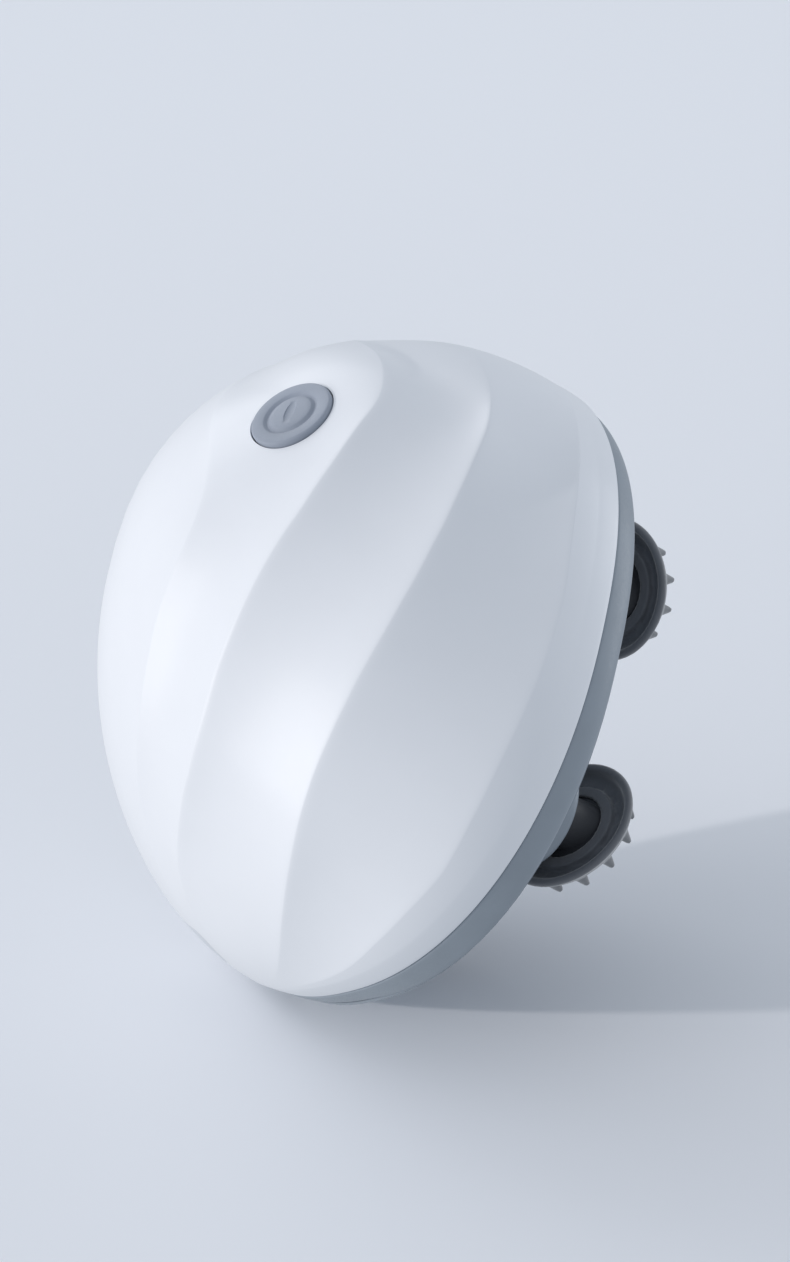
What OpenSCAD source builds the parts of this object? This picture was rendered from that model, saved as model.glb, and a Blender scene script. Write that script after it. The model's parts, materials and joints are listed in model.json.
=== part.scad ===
// Hand-held electric pet massager: a fluted dome that fills the palm, a grey base,
// and four silicone kneading heads that a small gear train turns together.
// Z = 0 is the plane of the finger tips that it stands on, and the dome points up.

/* [Dome] */
// Half width of the dome across Y, at its widest line
rim_r = 50; // [46:0.5:54]
// How much wider the dome is along X than along Y
rim_stretch = 1.065; // [1:0.005:1.08]
// Squareness of the plan outline, 2 is an ellipse
rim_square = 2.25; // [2:0.05:2.4]
// Turn of the plan outline's soft corners
rim_turn = 19.5; // [0:0.5:40]
// Height of the seam between dome and base above the finger tips
rim_z = 27.5; // [27.2:0.1:28.5]
// Height of the dome above the seam
dome_h = 51.7; // [50:0.1:56]
// Height above the seam at which the dome is widest
belly_z = 4; // [3:0.1:5]
// How far the crown leans towards the button end
crown_shift = 9.3; // [6:0.1:11]
// Wall thickness of the dome
shell_wall = 2.4; // [2:0.1:2.8]

/* [Flutes] */
// Depth of the flute that runs along the rim
rim_flute = 1.1; // [0.5:0.1:1.4]
// Depth of the long S-shaped flute beside it
side_flute = 1.5; // [0.5:0.1:1.8]
// Depth of the flute that holds the button
crown_flute = 1.2; // [0.5:0.1:1.5]
// How strongly the ridges lean across the dome
ridge_lean = 0.08; // [0:0.01:0.12]

/* [Button] */
// Radius of the soft button
button_r = 6.5; // [6:0.1:7]
// Place of the button across the flutes
button_u = 67; // [65:0.5:69]
// Place of the button along the flutes
button_t = 26; // [24:0.5:28]
// Travel of the button
button_travel = 0.8; // [0.5:0.1:1]

/* [Base] */
// Height of the grey band below the seam
band_h = 4.5; // [4:0.1:5]
// How far the band draws in at its lower edge
band_draft = 1.2; // [0.8:0.1:1.6]
// How far the band's lower edge leans away from the button end
band_lean = 1.8; // [1:0.1:2.2]
// Thickness of the bottom cover
floor_t = 2; // [1.6:0.1:2.4]
// Height of each pedestal under the bottom cover
pedestal_h = 10.7; // [10.2:0.1:11.2]
// Radius of each pedestal at its lower end
pedestal_r = 8.2; // [7.8:0.1:8.6]

/* [Massage heads] */
// Radius of each silicone head
pad_r = 11.2; // [10.8:0.1:11.6]
// Lean of each head on its hub, in degrees
head_lean = 25; // [22:1:27]
// Direction in which head 2 leans, from its own ring; the next one leans the other way
lean_turn = 72; // [60:1:90]
// Length of the fingers below the edge of each head
finger_len = 2.8; // [2.4:0.1:3]
// Number of fingers round the edge of each head
edge_fingers = 12; // [10:1:14]
// Number of fingers in the middle row of each head
middle_fingers = 8; // [6:1:9]
// Number of fingers at the centre of each head
inner_fingers = 4; // [3:1:5]
// Turn of the four heads about the middle of the base
head_turn = -22; // [-30:1:-15]
// Radius of each head's shaft
shaft_r = 2.5; // [2.2:0.1:2.8]

/* [Gears] */
// Module of the head and centre gears
coarse_module = 1; // [0.98:0.01:1.02]
// Teeth on each head gear
head_teeth = 24; // [24:1:24]
// Teeth on the centre gear
centre_teeth = 32; // [32:4:32]
// Teeth on the reduction gear's pinion
small_teeth = 12; // [12:1:13]
// Module of the first gear pair
fine_module = 0.8; // [0.78:0.01:0.82]
// Teeth on the reduction gear's wheel
wheel_teeth = 50; // [48:1:51]
// Teeth on the motor pinion
motor_teeth = 10; // [10:1:11]
// Play between meshing teeth
gear_play = 0.14; // [0.1:0.01:0.2]

/* [Motor and battery] */
// Radius of the motor case
motor_r = 12; // [11:0.1:12.2]
// Length of the motor case
motor_len = 24; // [20:0.5:25]
// Radius of the battery cell
cell_r = 7; // [6.5:0.1:7.2]
// Length of the battery cell
cell_len = 50; // [46:0.5:51]

/* [Charging port] */
// Direction of the charging port in plan
port_turn = 256; // [254:1:262]
// Height of the port's centre above the seam
port_z = 12.5; // [12:0.1:13]

/* [Fits] */
// Clearance between a turning shaft and its bore
run_gap = 0.06; // [0.04:0.01:0.08]
// Clearance between fixed pieces that plug together
plug_gap = 0.03; // [0.02:0.01:0.05]
// Clearance round the button and the port plug
cover_gap = 0.2; // [0.15:0.01:0.3]

/* [Hidden] */
$fn = 48;

white = [0.93, 0.94, 0.96];
slate = [0.47, 0.52, 0.57];
pad_grey = [0.30, 0.31, 0.33];
button_grey = [0.52, 0.57, 0.63];
steel = [0.75, 0.76, 0.78];
nylon = [0.90, 0.89, 0.84];
bronze = [0.72, 0.55, 0.32];
black = [0.12, 0.12, 0.13];
board_green = [0.10, 0.38, 0.22];
cell_blue = [0.16, 0.36, 0.62];

eps = 0.01;
cut = 1;

// Shape of the dome: how round it is in plan steps and in height steps
height_power = 1.87;
girth_power = 1.90;
lean_power = 1.3;

// Ridge lines, in degrees over the dome from the visible rim to the far rim
ridge_lines = [0, 7, 34, 57, 78, 124, 150, 173, 180];
flute_depths = [0, rim_flute, side_flute, crown_flute, 0, crown_flute, rim_flute, 0];
ridge_steps = 5;
along_steps = 30;
// Where each ridge starts to sweep round the button end, and how fast
sweep_start = [[0, 80], [34, 50], [57, 39], [78, 8], [180, -60]];
sweep_rate = [[0, 0], [34, 1.5], [57, 2.5], [78, 1.3], [180, 0.3]];
// How the ridges open out towards the lean end
spread_rate = [[0, 0], [34, -0.3], [45, 0], [57, 0.45], [78, 0.6], [180, 0]];
spread_start = 30;
flute_fade_lean = [75, 55];
flute_fade_button = [72, 32];

// Levels, all measured from the seam
rebate = 0.8;
floor_low = -band_h - rebate;
floor_top = floor_low + floor_t;
pedestal_low = floor_low - pedestal_h;
lip_h = 3;
lip_t = 1.6;
seal_t = 0.25;
plate_low = 5;
plate_t = 2;
plate_top = plate_low + plate_t;
bracket_low = plate_top + 5;
bracket_t = 2;
bracket_top = bracket_low + bracket_t;
gear_low = floor_top + 1;
gear_w = 3;
wheel_low = plate_top + 1;
wheel_w = 3;

// Plan positions
head_ring = coarse_module*(head_teeth + centre_teeth)/2;
small_reach = coarse_module*(small_teeth + centre_teeth)/2;
motor_reach = fine_module*(wheel_teeth + motor_teeth)/2;
arbor_x = small_reach;
motor_x = arbor_x - motor_reach;
post_turn = head_turn + 45;
post_ring = 30;
post_r = 3;
column_turns = [for (a = [60, 135, 225, 315]) head_turn + a];
column_ring = rim_r - 10;
column_r = 3.4;
plate_r = column_ring - column_r - 1;

// Screws
screw_r = 1.2;
screw_head_r = 2.2;
screw_head_h = 1.2;
small_screw_r = 0.95;
small_head_r = 1.8;
screw_gap = 0.05;

// Gear teeth
pressure = 25;
addendum = 0.8;
dedendum = 1.05;
flank_steps = 3;

// Plan outline of the dome, for a radius of one
function outline(a) =
    let (c = abs(cos(a - rim_turn)), s = abs(sin(a - rim_turn)),
         r = pow(pow(c, rim_square) + pow(s, rim_square), -1/rim_square))
    [rim_stretch*r*cos(a), r*sin(a)];

// Seam outline drawn in by a distance
function seam_point(a, inset) =
    let (p = rim_r*skirt_scale(0)*outline(a)) p*(1 - inset/norm(p));
function seam_loop(inset, n = 96) = [for (i = [0:n - 1]) seam_point(360*i/n, inset)];

// The dome draws in a little between its widest line and the seam
function skirt_scale(z) = 1 - pow((belly_z - z)/dome_h, 2);

// Point of the smooth dome in the direction d
function dome_point(d) =
    let (up = asin(min(1, max(0, d.z))), turn = atan2(d.y, d.x),
         z = belly_z + (dome_h - belly_z)*pow(sin(up), 2/height_power),
         r = rim_r*pow(max(0, cos(up)), 2/girth_power),
         p = outline(turn)*r,
         lean = crown_shift*pow(z/dome_h, lean_power))
    [p.x, p.y + lean, z];

function soft_step(x) = let (c = min(1, max(0, x))) c*c*(3 - 2*c);
function soft_ramp(x, w) = w*ln(1 + exp(min(40, x/w)));

// Angle over the dome of ridge u, at t degrees along it from the middle
function ridge_angle(u, t) =
    let (side = min(1, u/6, (180 - u)/6),
         sweep = lookup(u, sweep_rate)*soft_ramp(t - lookup(u, sweep_start), 3),
         spread = lookup(u, spread_rate)*soft_ramp(-t - spread_start, 4),
         move = side*(sweep + spread - ridge_lean*t))
    u <= 0 ? 0 : u >= 180 ? 180
    : move > 0 ? 180 - (180 - u)*exp(-move/(180 - u))
    : u*exp(move/u);

function unit(v) = v/norm(v);
function direction(u, t) =
    let (s = ridge_angle(u, t)) [cos(t)*cos(s), sin(t), cos(t)*sin(s)];

// Depth of the flute between two ridges
function flute_at(u, t) =
    let (i = max([for (k = [0:len(flute_depths) - 1]) if (u >= ridge_lines[k]) k]),
         f = (u - ridge_lines[i])/(ridge_lines[i + 1] - ridge_lines[i]),
         fade = soft_step((t + flute_fade_lean[0])/flute_fade_lean[1])
              * soft_step((flute_fade_button[0] - t)/flute_fade_button[1]))
    flute_depths[i]*4*f*(1 - f)*fade;

// Point of the fluted dome, drawn in by a distance
function skin_point(u, t, inset) =
    let (d = direction(u, t)) dome_point(d) - (inset + flute_at(u, t))*d;

// One slice of the dome along t, closed across its flat underside
function ridge_samples(steps) =
    concat([for (k = [0:len(flute_depths) - 1], j = [0:steps - 1])
                ridge_lines[k] + (ridge_lines[k + 1] - ridge_lines[k])*j/steps], [180]);
function slice(t, inset, low, us) =
    let (a = skin_point(0, t, inset), b = skin_point(180, t, inset), s = skirt_scale(low))
    concat([[a.x*s, a.y*s, low]], [for (u = us) skin_point(u, t, inset)], [[b.x*s, b.y*s, low]]);

// Faces that join equal loops into one closed skin, with a point at each end
function skin_faces(rows, cols) = concat(
    [for (i = [0:rows - 2], j = [0:cols - 1]) let (k = (j + 1)%cols)
        [1 + i*cols + j, 1 + (i + 1)*cols + k, 1 + (i + 1)*cols + j]],
    [for (i = [0:rows - 2], j = [0:cols - 1]) let (k = (j + 1)%cols)
        [1 + i*cols + j, 1 + i*cols + k, 1 + (i + 1)*cols + k]],
    [for (j = [0:cols - 1]) [0, 1 + (j + 1)%cols, 1 + j]],
    [for (j = [0:cols - 1]) let (last = (rows - 1)*cols)
        [rows*cols + 1, 1 + last + j, 1 + last + (j + 1)%cols]]);

// The whole dome as a solid block, drawn in by a distance and closed at a lower level
module dome_block(inset, low, steps = ridge_steps, rows = along_steps) {
    us = ridge_samples(steps);
    reach = 87;
    slices = [for (i = [0:rows - 1]) slice(-reach + 2*reach*i/(rows - 1), inset, low, us)];
    cols = len(us) + 2;
    tip = function(sign) let (p = skin_point(0, 90*sign, inset), s = skirt_scale(low))
        [p.x*s, p.y*s, (low + belly_z)/2];
    points = concat([tip(-1)], [for (s = slices) each s], [tip(1)]);
    polyhedron(points, skin_faces(rows, cols), convexity = 6);
}

// Frame of the button: its place on the dome and the way it faces
button_spot = skin_point(button_u, button_t, 0);
button_axis = unit(cross(skin_point(button_u + 3, button_t, 0) - skin_point(button_u - 3, button_t, 0),
                         skin_point(button_u, button_t + 3, 0) - skin_point(button_u, button_t - 3, 0)));
button_facing = button_axis.z < 0 ? -button_axis : button_axis;

module lift(z = 0) translate([0, 0, rim_z + z]) children();
module at_button() lift() translate(button_spot)
    rotate([0, acos(button_facing.z), atan2(button_facing.y, button_facing.x)]) children();
module round_each(count, ring, turn) for (i = [0:count - 1])
    rotate(turn + 360*i/count) translate([ring, 0, 0]) children();
module at_columns() for (a = column_turns) rotate(a) translate([column_ring, 0, 0]) children();
module at_head(i) rotate(head_turn + 90*(i - 1)) translate([head_ring, 0, 0]) children();
module at_port() lift(port_z) rotate(port_turn) children();
module ring(r_out, r_in, h) difference() {
    cylinder(r = r_out, h = h);
    translate([0, 0, -cut]) cylinder(r = r_in, h = h + 2*cut);
}

// Distance of the outer skin from the middle, towards a turn and at a height
function skin_reach(turn, z) =
    let (up = asin(pow((z - belly_z)/(dome_h - belly_z), height_power/2)))
    norm(outline(turn))*rim_r*pow(cos(up), 2/girth_power)
        + crown_shift*pow(z/dome_h, lean_power)*sin(turn);

// Charging port: the flap follows the skin, and a block behind it backs the pocket
flap_w = 14;
flap_h = 7.6;
flap_t = 1.7;
tongue_w = 9.4;
tongue_h = 3.6;
port_wall = 1.2;
port_brow = min([for (s = [-1, 1]) let (a = atan(s*flap_w/2/rim_r))
    skin_reach(port_turn + a, port_z + flap_h/2)*cos(a)]);
port_back = port_brow - flap_t - port_wall;
socket_len = 7.4;
socket_w = 9;
socket_h = 3.3;
socket_face = port_back - 0.3;
stalk_y = 6.1;
stalk_r = 0.8;
bulb_r = 1.3;
bulb_t = 1.5;
plug_pull = 6;
bulb_at = port_back - plug_pull - bulb_t - 0.2;
charge_board_t = 1.2;
charge_board_w = 18;
charge_board_top = -socket_h/2;
charge_post_r = 2.2;
charge_post_x = plate_r - charge_post_r - 0.8;
charge_post_y = 6.5;
charge_board_len = socket_face - charge_post_x + charge_post_r;

// Rounded bar along the port's axis, from one distance to another
module port_bar(w, h, from, to) rotate([90, 0, 90]) translate([0, 0, from])
    linear_extrude(to - from) round_rect(w, h, min(w, h)*0.3);
module round_rect(w, h, r) union() {
    square([w - 2*r, h], center = true);
    square([w, h - 2*r], center = true);
    for (x = [-1, 1], y = [-1, 1]) translate([x*(w/2 - r), y*(h/2 - r)]) circle(r, $fn = 24);
}

// Button stack, measured from the skin along the button's axis
button_proud = 0.35;
seat_depth = 2.2;
flange_r = button_r + 1.5;
flange_t = 0.8;
stem_r = 1.6;
stem_low = -5.2;
switch_top = stem_low - button_travel - 0.1;
switch_w = 6;
switch_h = 3.5;
tip_h = 1;
board_top = switch_top - tip_h - switch_h;
board_t = 1.2;
board_w = 24;
board_d = 20;
board_post = [9, 7];
board_post_r = 2.2;

module top_shell() color(white) difference() {
    union() {
        difference() {
            lift() dome_block(0, 0);
            lift() dome_block(shell_wall, -cut, 3, 22);
            lift(-cut) linear_extrude(lip_h + 0.4 + cut) polygon(seam_loop(shell_wall));
        }
        intersection() {
            lift() dome_block(shell_wall/2, 0, 1, 14);
            shell_bosses();
        }
    }
    at_button() {
        translate([0, 0, -seat_depth - 2*cut]) cylinder(r = button_r + cover_gap, h = 12);
        translate([0, 0, -seat_depth - 8]) cylinder(r = flange_r + cover_gap, h = 8);
        for (s = [-1, 1]) translate([s*board_post.x, s*board_post.y, board_top - cut])
            cylinder(r = small_screw_r + screw_gap, h = 5 + cut);
    }
    at_columns() lift(-cut) cylinder(r = screw_r + screw_gap, h = 12 + cut);
    difference() {
        at_port() port_bar(flap_w + 2*cover_gap, flap_h + 2*cover_gap, port_back, rim_r*2);
        lift() dome_block(flap_t + cover_gap/2, 0, 3, 22);
    }
    at_port() {
        port_bar(tongue_w + 2*cover_gap, tongue_h + 2*cover_gap, port_back - cut, rim_r);
        translate([port_back - cut, stalk_y, 0]) rotate([0, 90, 0]) cylinder(r = stalk_r + cover_gap, h = 8);
    }
}

// Screw columns, board posts and the block behind the charging port
module shell_bosses() {
    at_columns() lift() cylinder(r = column_r, h = dome_h);
    at_button() for (s = [-1, 1]) translate([s*board_post.x, s*board_post.y, board_top])
        cylinder(r = board_post_r, h = -board_top);
    at_port() translate([port_back, -flap_w/2 - 1, -flap_h/2 - 1]) cube([10, flap_w + 2, flap_h + 2]);
}

module seal_ring() color(black) lift(0.8) difference() {
    linear_extrude(1.4) polygon(seam_loop(shell_wall + 0.03));
    translate([0, 0, -cut]) linear_extrude(2*cut + 1.4) polygon(seam_loop(shell_wall + 0.03 + seal_t));
}

// Grey band: a soft shoulder under the seam, whose lower edge draws in and leans.
// Each row of its profile holds a height, a distance drawn in and a lean
band_step = 0.25;
band_profile = [for (i = [0:6]) let (a = 90*i/6, f = 1 - cos(a))
    [-band_h*sin(a), band_draft*f + band_step, band_lean*f]];
ring_bore = shell_wall + 0.06 + seal_t + lip_t;
module base_ring() color(slate) lift() difference() {
    union() {
        band_block();
        linear_extrude(lip_h) polygon(seam_loop(shell_wall + 0.06 + seal_t));
    }
    translate([0, 0, -band_h - cut]) linear_extrude(band_h + lip_h + 2*cut)
        polygon(seam_loop(ring_bore));
}
module band_block() {
    n = 96;
    loops = [for (p = band_profile) [for (q = seam_loop(p.y, n)) [q.x, q.y - p.z, p.x]]];
    last = (len(loops) - 1)*n;
    sides = [for (i = [0:len(loops) - 2], j = [0:n - 1]) let (a = i*n + j, b = i*n + (j + 1)%n)
        each [[a, b, b + n], [a, b + n, a + n]]];
    caps = [[for (j = [n - 1:-1:0]) j], [for (j = [0:n - 1]) last + j]];
    polyhedron([for (l = loops) each l], concat(sides, caps), convexity = 4);
}

bushing_r = 4;
bushing_flange_r = 5.5;
bushing_flange_t = 0.8;
seal_pocket_r = 5;
seal_pocket_h = 2.1;
cover_inset = band_draft + band_step + 1.2;
boss_r = 3.8;
pin_r = 2;

module bottom_cover() color(slate) lift() difference() {
    union() {
        translate([0, -band_lean, floor_low]) linear_extrude(rebate) polygon(seam_loop(cover_inset));
        translate([0, 0, floor_low + eps]) linear_extrude(floor_t - eps)
            polygon(seam_loop(ring_bore + cover_gap));
        for (i = [1:4]) at_head(i) pedestal();
        at_columns() translate([0, 0, floor_low + eps])
            cylinder(r = boss_r, h = -floor_low - eps);
        round_each(4, post_ring, post_turn) translate([0, 0, floor_low + eps])
            cylinder(r = post_r, h = plate_low - floor_low - eps);
        translate([0, 0, floor_low + eps]) cylinder(r = pin_r + 2, h = gear_low - 0.2 - floor_low - eps);
    }
    for (i = [1:4]) at_head(i) {
        translate([0, 0, pedestal_low - cut]) cylinder(r = bushing_r + plug_gap, h = 30);
        translate([0, 0, pedestal_low - cut]) cylinder(r = seal_pocket_r + plug_gap, h = seal_pocket_h + cut);
    }
    at_columns() {
        translate([0, 0, floor_low - cut]) cylinder(r = screw_head_r + 0.3, h = floor_t + 2 + cut);
        translate([0, 0, floor_low - cut]) cylinder(r = screw_r + screw_gap, h = 20);
    }
    round_each(4, post_ring, post_turn) translate([0, 0, plate_low - 8])
        cylinder(r = screw_r + screw_gap, h = 8 + cut);
    translate([0, 0, floor_low + 0.8]) cylinder(r = pin_r + plug_gap, h = 20);
}
// Pedestal: a foot fillet, a slightly tapered wall and a softened lower edge
module pedestal() {
    foot = 2.4;
    lip = 0.8;
    rotate_extrude() polygon(concat(
        [[0, floor_low + eps], [pedestal_r + foot + 0.4, floor_low + eps]],
        [for (i = [1:6]) let (a = 90*i/6)
            [pedestal_r + 0.4 + foot*(1 - sin(a)), floor_low - foot*(1 - cos(a))]],
        [for (i = [0:4]) let (a = 90*i/4)
            [pedestal_r - lip*(1 - cos(a)), pedestal_low + lip*(1 - sin(a))]],
        [[0, pedestal_low]]));
}

module housing_screws() color(steel) at_columns()
    lift(floor_top + 2 - screw_head_h) {
        screw(screw_r, screw_head_r, screw_head_h, 12);
    }
// A screw that points up, with a crossed recess in its head
module screw(r, head_r, head_h, length) difference() {
    union() {
        cylinder(r = head_r, h = head_h);
        translate([0, 0, head_h - eps]) cylinder(r = r, h = length);
    }
    for (a = [0, 90]) rotate(a) translate([-head_r*0.6, -0.2, -cut]) cube([head_r*1.2, 0.4, cut + head_h*0.5]);
}

module power_button() color(button_grey) at_button() difference() {
    union() {
        rotate_extrude() polygon([[0, stem_low + 2], [flange_r, -seat_depth - 0.1 - flange_t],
            [flange_r, -seat_depth - 0.1], [button_r, -seat_depth - 0.1],
            [button_r, button_proud - 0.3], [button_r - 0.3, button_proud],
            [button_r*0.66, button_proud], [button_r*0.62, button_proud - 0.45],
            [button_r*0.56, button_proud - 0.45], [button_r*0.52, button_proud + 0.05],
            [0, button_proud + 0.2]]);
        translate([0, 0, stem_low]) cylinder(r = stem_r, h = 3);
    }
    translate([-0.45, -1.5, button_proud - 0.25]) cube([0.9, 3, cut]);
    for (s = [-1, 1]) translate([0, 1.5*s, button_proud - 0.25]) cylinder(r = 0.45, h = cut);
}

module button_switch() color(black) at_button() {
    translate([0, 0, board_top + switch_h - eps]) cylinder(r = 1.7, h = tip_h + eps);
    translate([-switch_w/2, -switch_w/2, board_top]) cube([switch_w, switch_w, switch_h]);
}

module circuit_board() color(board_green) at_button() difference() {
    union() {
        translate([-board_w/2, -board_d/2, board_top - board_t]) cube([board_w, board_d, board_t]);
        translate([-4, -3, board_top - board_t - 1.5]) cube([7, 6, 1.6]);
        translate([-10, 3, board_top - board_t - 1]) cube([4, 3, 1.1]);
    }
    for (s = [-1, 1]) translate([s*board_post.x, s*board_post.y, board_top - board_t - cut])
        cylinder(r = small_screw_r + screw_gap, h = board_t + 2*cut);
}

module board_screws() color(steel) {
    at_button() for (s = [-1, 1]) translate([s*board_post.x, s*board_post.y, board_top - board_t - screw_head_h])
        screw(small_screw_r, small_head_r, screw_head_h, 5.5);
    at_port() for (s = [-1, 1]) translate([charge_post_x, s*charge_post_y, charge_board_top + screw_head_h])
        mirror([0, 0, 1]) screw(small_screw_r, small_head_r, screw_head_h, 4);
}

module charge_board() color(board_green) at_port() difference() {
    translate([socket_face - charge_board_len, -charge_board_w/2, charge_board_top - charge_board_t])
        cube([charge_board_len, charge_board_w, charge_board_t]);
    for (s = [-1, 1]) translate([charge_post_x, s*charge_post_y, charge_board_top - charge_board_t - cut])
        cylinder(r = small_screw_r + screw_gap, h = charge_board_t + 2*cut);
}

module charge_socket() color(steel) at_port() difference() {
    port_bar(socket_w, socket_h, socket_face - socket_len, socket_face);
    difference() {
        port_bar(socket_w - 0.7, socket_h - 0.7, socket_face - socket_len + 1, socket_face + cut);
        translate([0, -3.3, -0.35]) cube([socket_face - 1.2, 6.6, 0.7]);
    }
}

module charge_plug() color(slate) union() {
    difference() {
        intersection() {
            lift() dome_block(0, 0);
            at_port() port_bar(flap_w, flap_h, port_back, rim_r*2);
        }
        lift() dome_block(flap_t, 0, 3, 22);
    }
    intersection() {
        lift() dome_block(flap_t/2, 0, 3, 22);
        at_port() {
            port_bar(tongue_w, tongue_h, port_back, rim_r);
            translate([bulb_at, stalk_y, 0]) rotate([0, 90, 0]) {
                cylinder(r = stalk_r, h = rim_r - bulb_at);
                cylinder(r = bulb_r, h = bulb_t);
            }
        }
    }
}

module chassis_plate() color(black) lift() difference() {
    union() {
        translate([0, 0, plate_low]) cylinder(r = plate_r, h = plate_t, $fn = 96);
        translate([0, 0, 0]) rotate(port_turn) for (s = [-1, 1])
            translate([charge_post_x, s*charge_post_y, plate_top - eps])
                cylinder(r = charge_post_r, h = port_z + charge_board_top - charge_board_t - plate_top + eps);
    }
    for (i = [1:4]) at_head(i) translate([0, 0, plate_low - cut])
        cylinder(r = shaft_r + run_gap, h = plate_t + 2*cut);
    translate([0, 0, plate_low - cut]) cylinder(r = pin_r + plug_gap, h = plate_t - 0.6 + cut);
    translate([arbor_x, 0, plate_low - cut]) cylinder(r = arbor_r + run_gap, h = plate_t + 2*cut);
    round_each(4, post_ring, post_turn) {
        translate([0, 0, plate_low - cut]) cylinder(r = screw_r + screw_gap, h = plate_t + 2*cut);
        translate([0, 0, plate_top - screw_head_h]) cylinder(r = screw_head_r + 0.1, h = 2*cut);
    }
    for (s = [-1, 1]) translate([motor_x, s*leg_y, plate_low - cut])
        cylinder(r = screw_r + screw_gap, h = plate_t + 2*cut);
    rotate(port_turn) for (s = [-1, 1]) translate([charge_post_x, s*charge_post_y, plate_low - cut])
        cylinder(r = small_screw_r + screw_gap, h = 10);
}

module chassis_screws() color(steel) round_each(4, post_ring, post_turn) lift(plate_top)
    mirror([0, 0, 1]) screw(screw_r, screw_head_r, screw_head_h, 7);

arbor_r = 3;
arbor_tip_r = 1.5;
leg_y = motor_r + screw_head_r + 0.3;
leg_r = 3;
nose_r = 3;
motor_axle_r = 1;

module motor_bracket() color(steel) lift() difference() {
    union() {
        translate([0, 0, bracket_low]) linear_extrude(bracket_t) {
            hull() {
                translate([motor_x, 0]) circle(motor_r + 1);
                translate([arbor_x, 0]) circle(5);
            }
            hull() for (s = [-1, 1]) translate([motor_x, s*leg_y]) circle(leg_r);
        }
        for (s = [-1, 1]) translate([motor_x, s*leg_y, plate_top])
            cylinder(r = leg_r - 0.4, h = bracket_low - plate_top + eps);
    }
    translate([motor_x, 0, bracket_low - cut]) cylinder(r = nose_r + plug_gap, h = bracket_t + 2*cut);
    translate([arbor_x, 0, bracket_low - cut]) cylinder(r = arbor_tip_r + run_gap, h = bracket_t + 2*cut);
    for (s = [-1, 1]) {
        translate([motor_x, s*leg_y, plate_top - cut]) cylinder(r = screw_r + screw_gap, h = 20);
        translate([motor_x + s*7, 0, bracket_low - cut]) cylinder(r = 1.3, h = bracket_t + 2*cut);
    }
}

module bracket_screws() color(steel) for (s = [-1, 1]) translate([motor_x, s*leg_y, 0])
    lift(bracket_top + screw_head_h) mirror([0, 0, 1])
        screw(screw_r, screw_head_r, screw_head_h, bracket_top - plate_low);

cap_t = 2;
module motor_case() color(steel) lift(bracket_top) translate([motor_x, 0, 0]) difference() {
    union() {
        rotate_extrude() polygon(concat([[0, 0], [motor_r - 0.6, 0], [motor_r, 0.6]],
            [for (i = [0:5]) let (a = 90*i/5)
                [motor_r - 1.2*(1 - cos(a)), motor_len - 1.2 + 1.2*sin(a)]],
            [[0, motor_len]]));
        translate([0, 0, -bracket_t + 0.2]) cylinder(r = nose_r, h = bracket_t);
    }
    translate([0, 0, -bracket_t - cut]) cylinder(r = motor_axle_r + run_gap, h = motor_len*0.6);
}

module motor_end_cap() color(black) lift(bracket_top + motor_len) translate([motor_x, 0, 0]) {
    cylinder(r = motor_r - 2, h = cap_t);
    for (s = [-1, 1]) translate([-0.25, s*6 - 1.2, cap_t - eps]) cube([0.5, 2.4, 2.2]);
}

module motor_shaft() color(steel) lift(wheel_low - 0.6) translate([motor_x, 0, 0])
    cylinder(r = motor_axle_r, h = bracket_top - wheel_low + motor_len*0.5);

// Half thickness of a tooth, as an angle, at radius r
function involute(a) = tan(a)*180/PI - a;
function tooth_half(teeth, size, r) =
    let (pitch = teeth*size/2, base = pitch*cos(pressure))
    90/teeth - gear_play/4/pitch*180/PI + involute(pressure)
        - involute(r > base ? acos(base/r) : 0);
function gear_outline(teeth, size) =
    let (pitch = teeth*size/2, base = pitch*cos(pressure),
         tip = pitch + addendum*size, root = pitch - dedendum*size, low = max(base, root),
         radii = concat(root < base ? [root] : [],
                        [for (i = [0:flank_steps]) low + (tip - low)*i/flank_steps]))
    [for (i = [0:teeth - 1]) each concat(
        [for (r = radii) let (a = 360*i/teeth - tooth_half(teeth, size, r)) r*[cos(a), sin(a)]],
        [for (j = [len(radii) - 1:-1:0]) let (r = radii[j],
            a = 360*i/teeth + tooth_half(teeth, size, r)) r*[cos(a), sin(a)]])];

module gear(teeth, size, width) linear_extrude(width) polygon(gear_outline(teeth, size));

// Turn that puts gear b in mesh with gear a, seen from a in direction way
function mesh_turn(a_turn, a_teeth, b_teeth, way) =
    way + 180 - (180 - (way - a_turn)*a_teeth)/b_teeth;
centre_turn = head_turn;
head_gear_turn = mesh_turn(0, centre_teeth, head_teeth, 0);
small_turn = mesh_turn(centre_turn, centre_teeth, small_teeth, 0);
wheel_turn = small_turn;
motor_turn = mesh_turn(wheel_turn, wheel_teeth, motor_teeth, 180);

module motor_pinion() color(bronze) lift(wheel_low - 0.4) translate([motor_x, 0, 0]) rotate(motor_turn)
    difference() {
        gear(motor_teeth, fine_module, wheel_w + 0.8);
        translate([0, 0, -cut]) cylinder(r = motor_axle_r + plug_gap, h = 10);
    }

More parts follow.
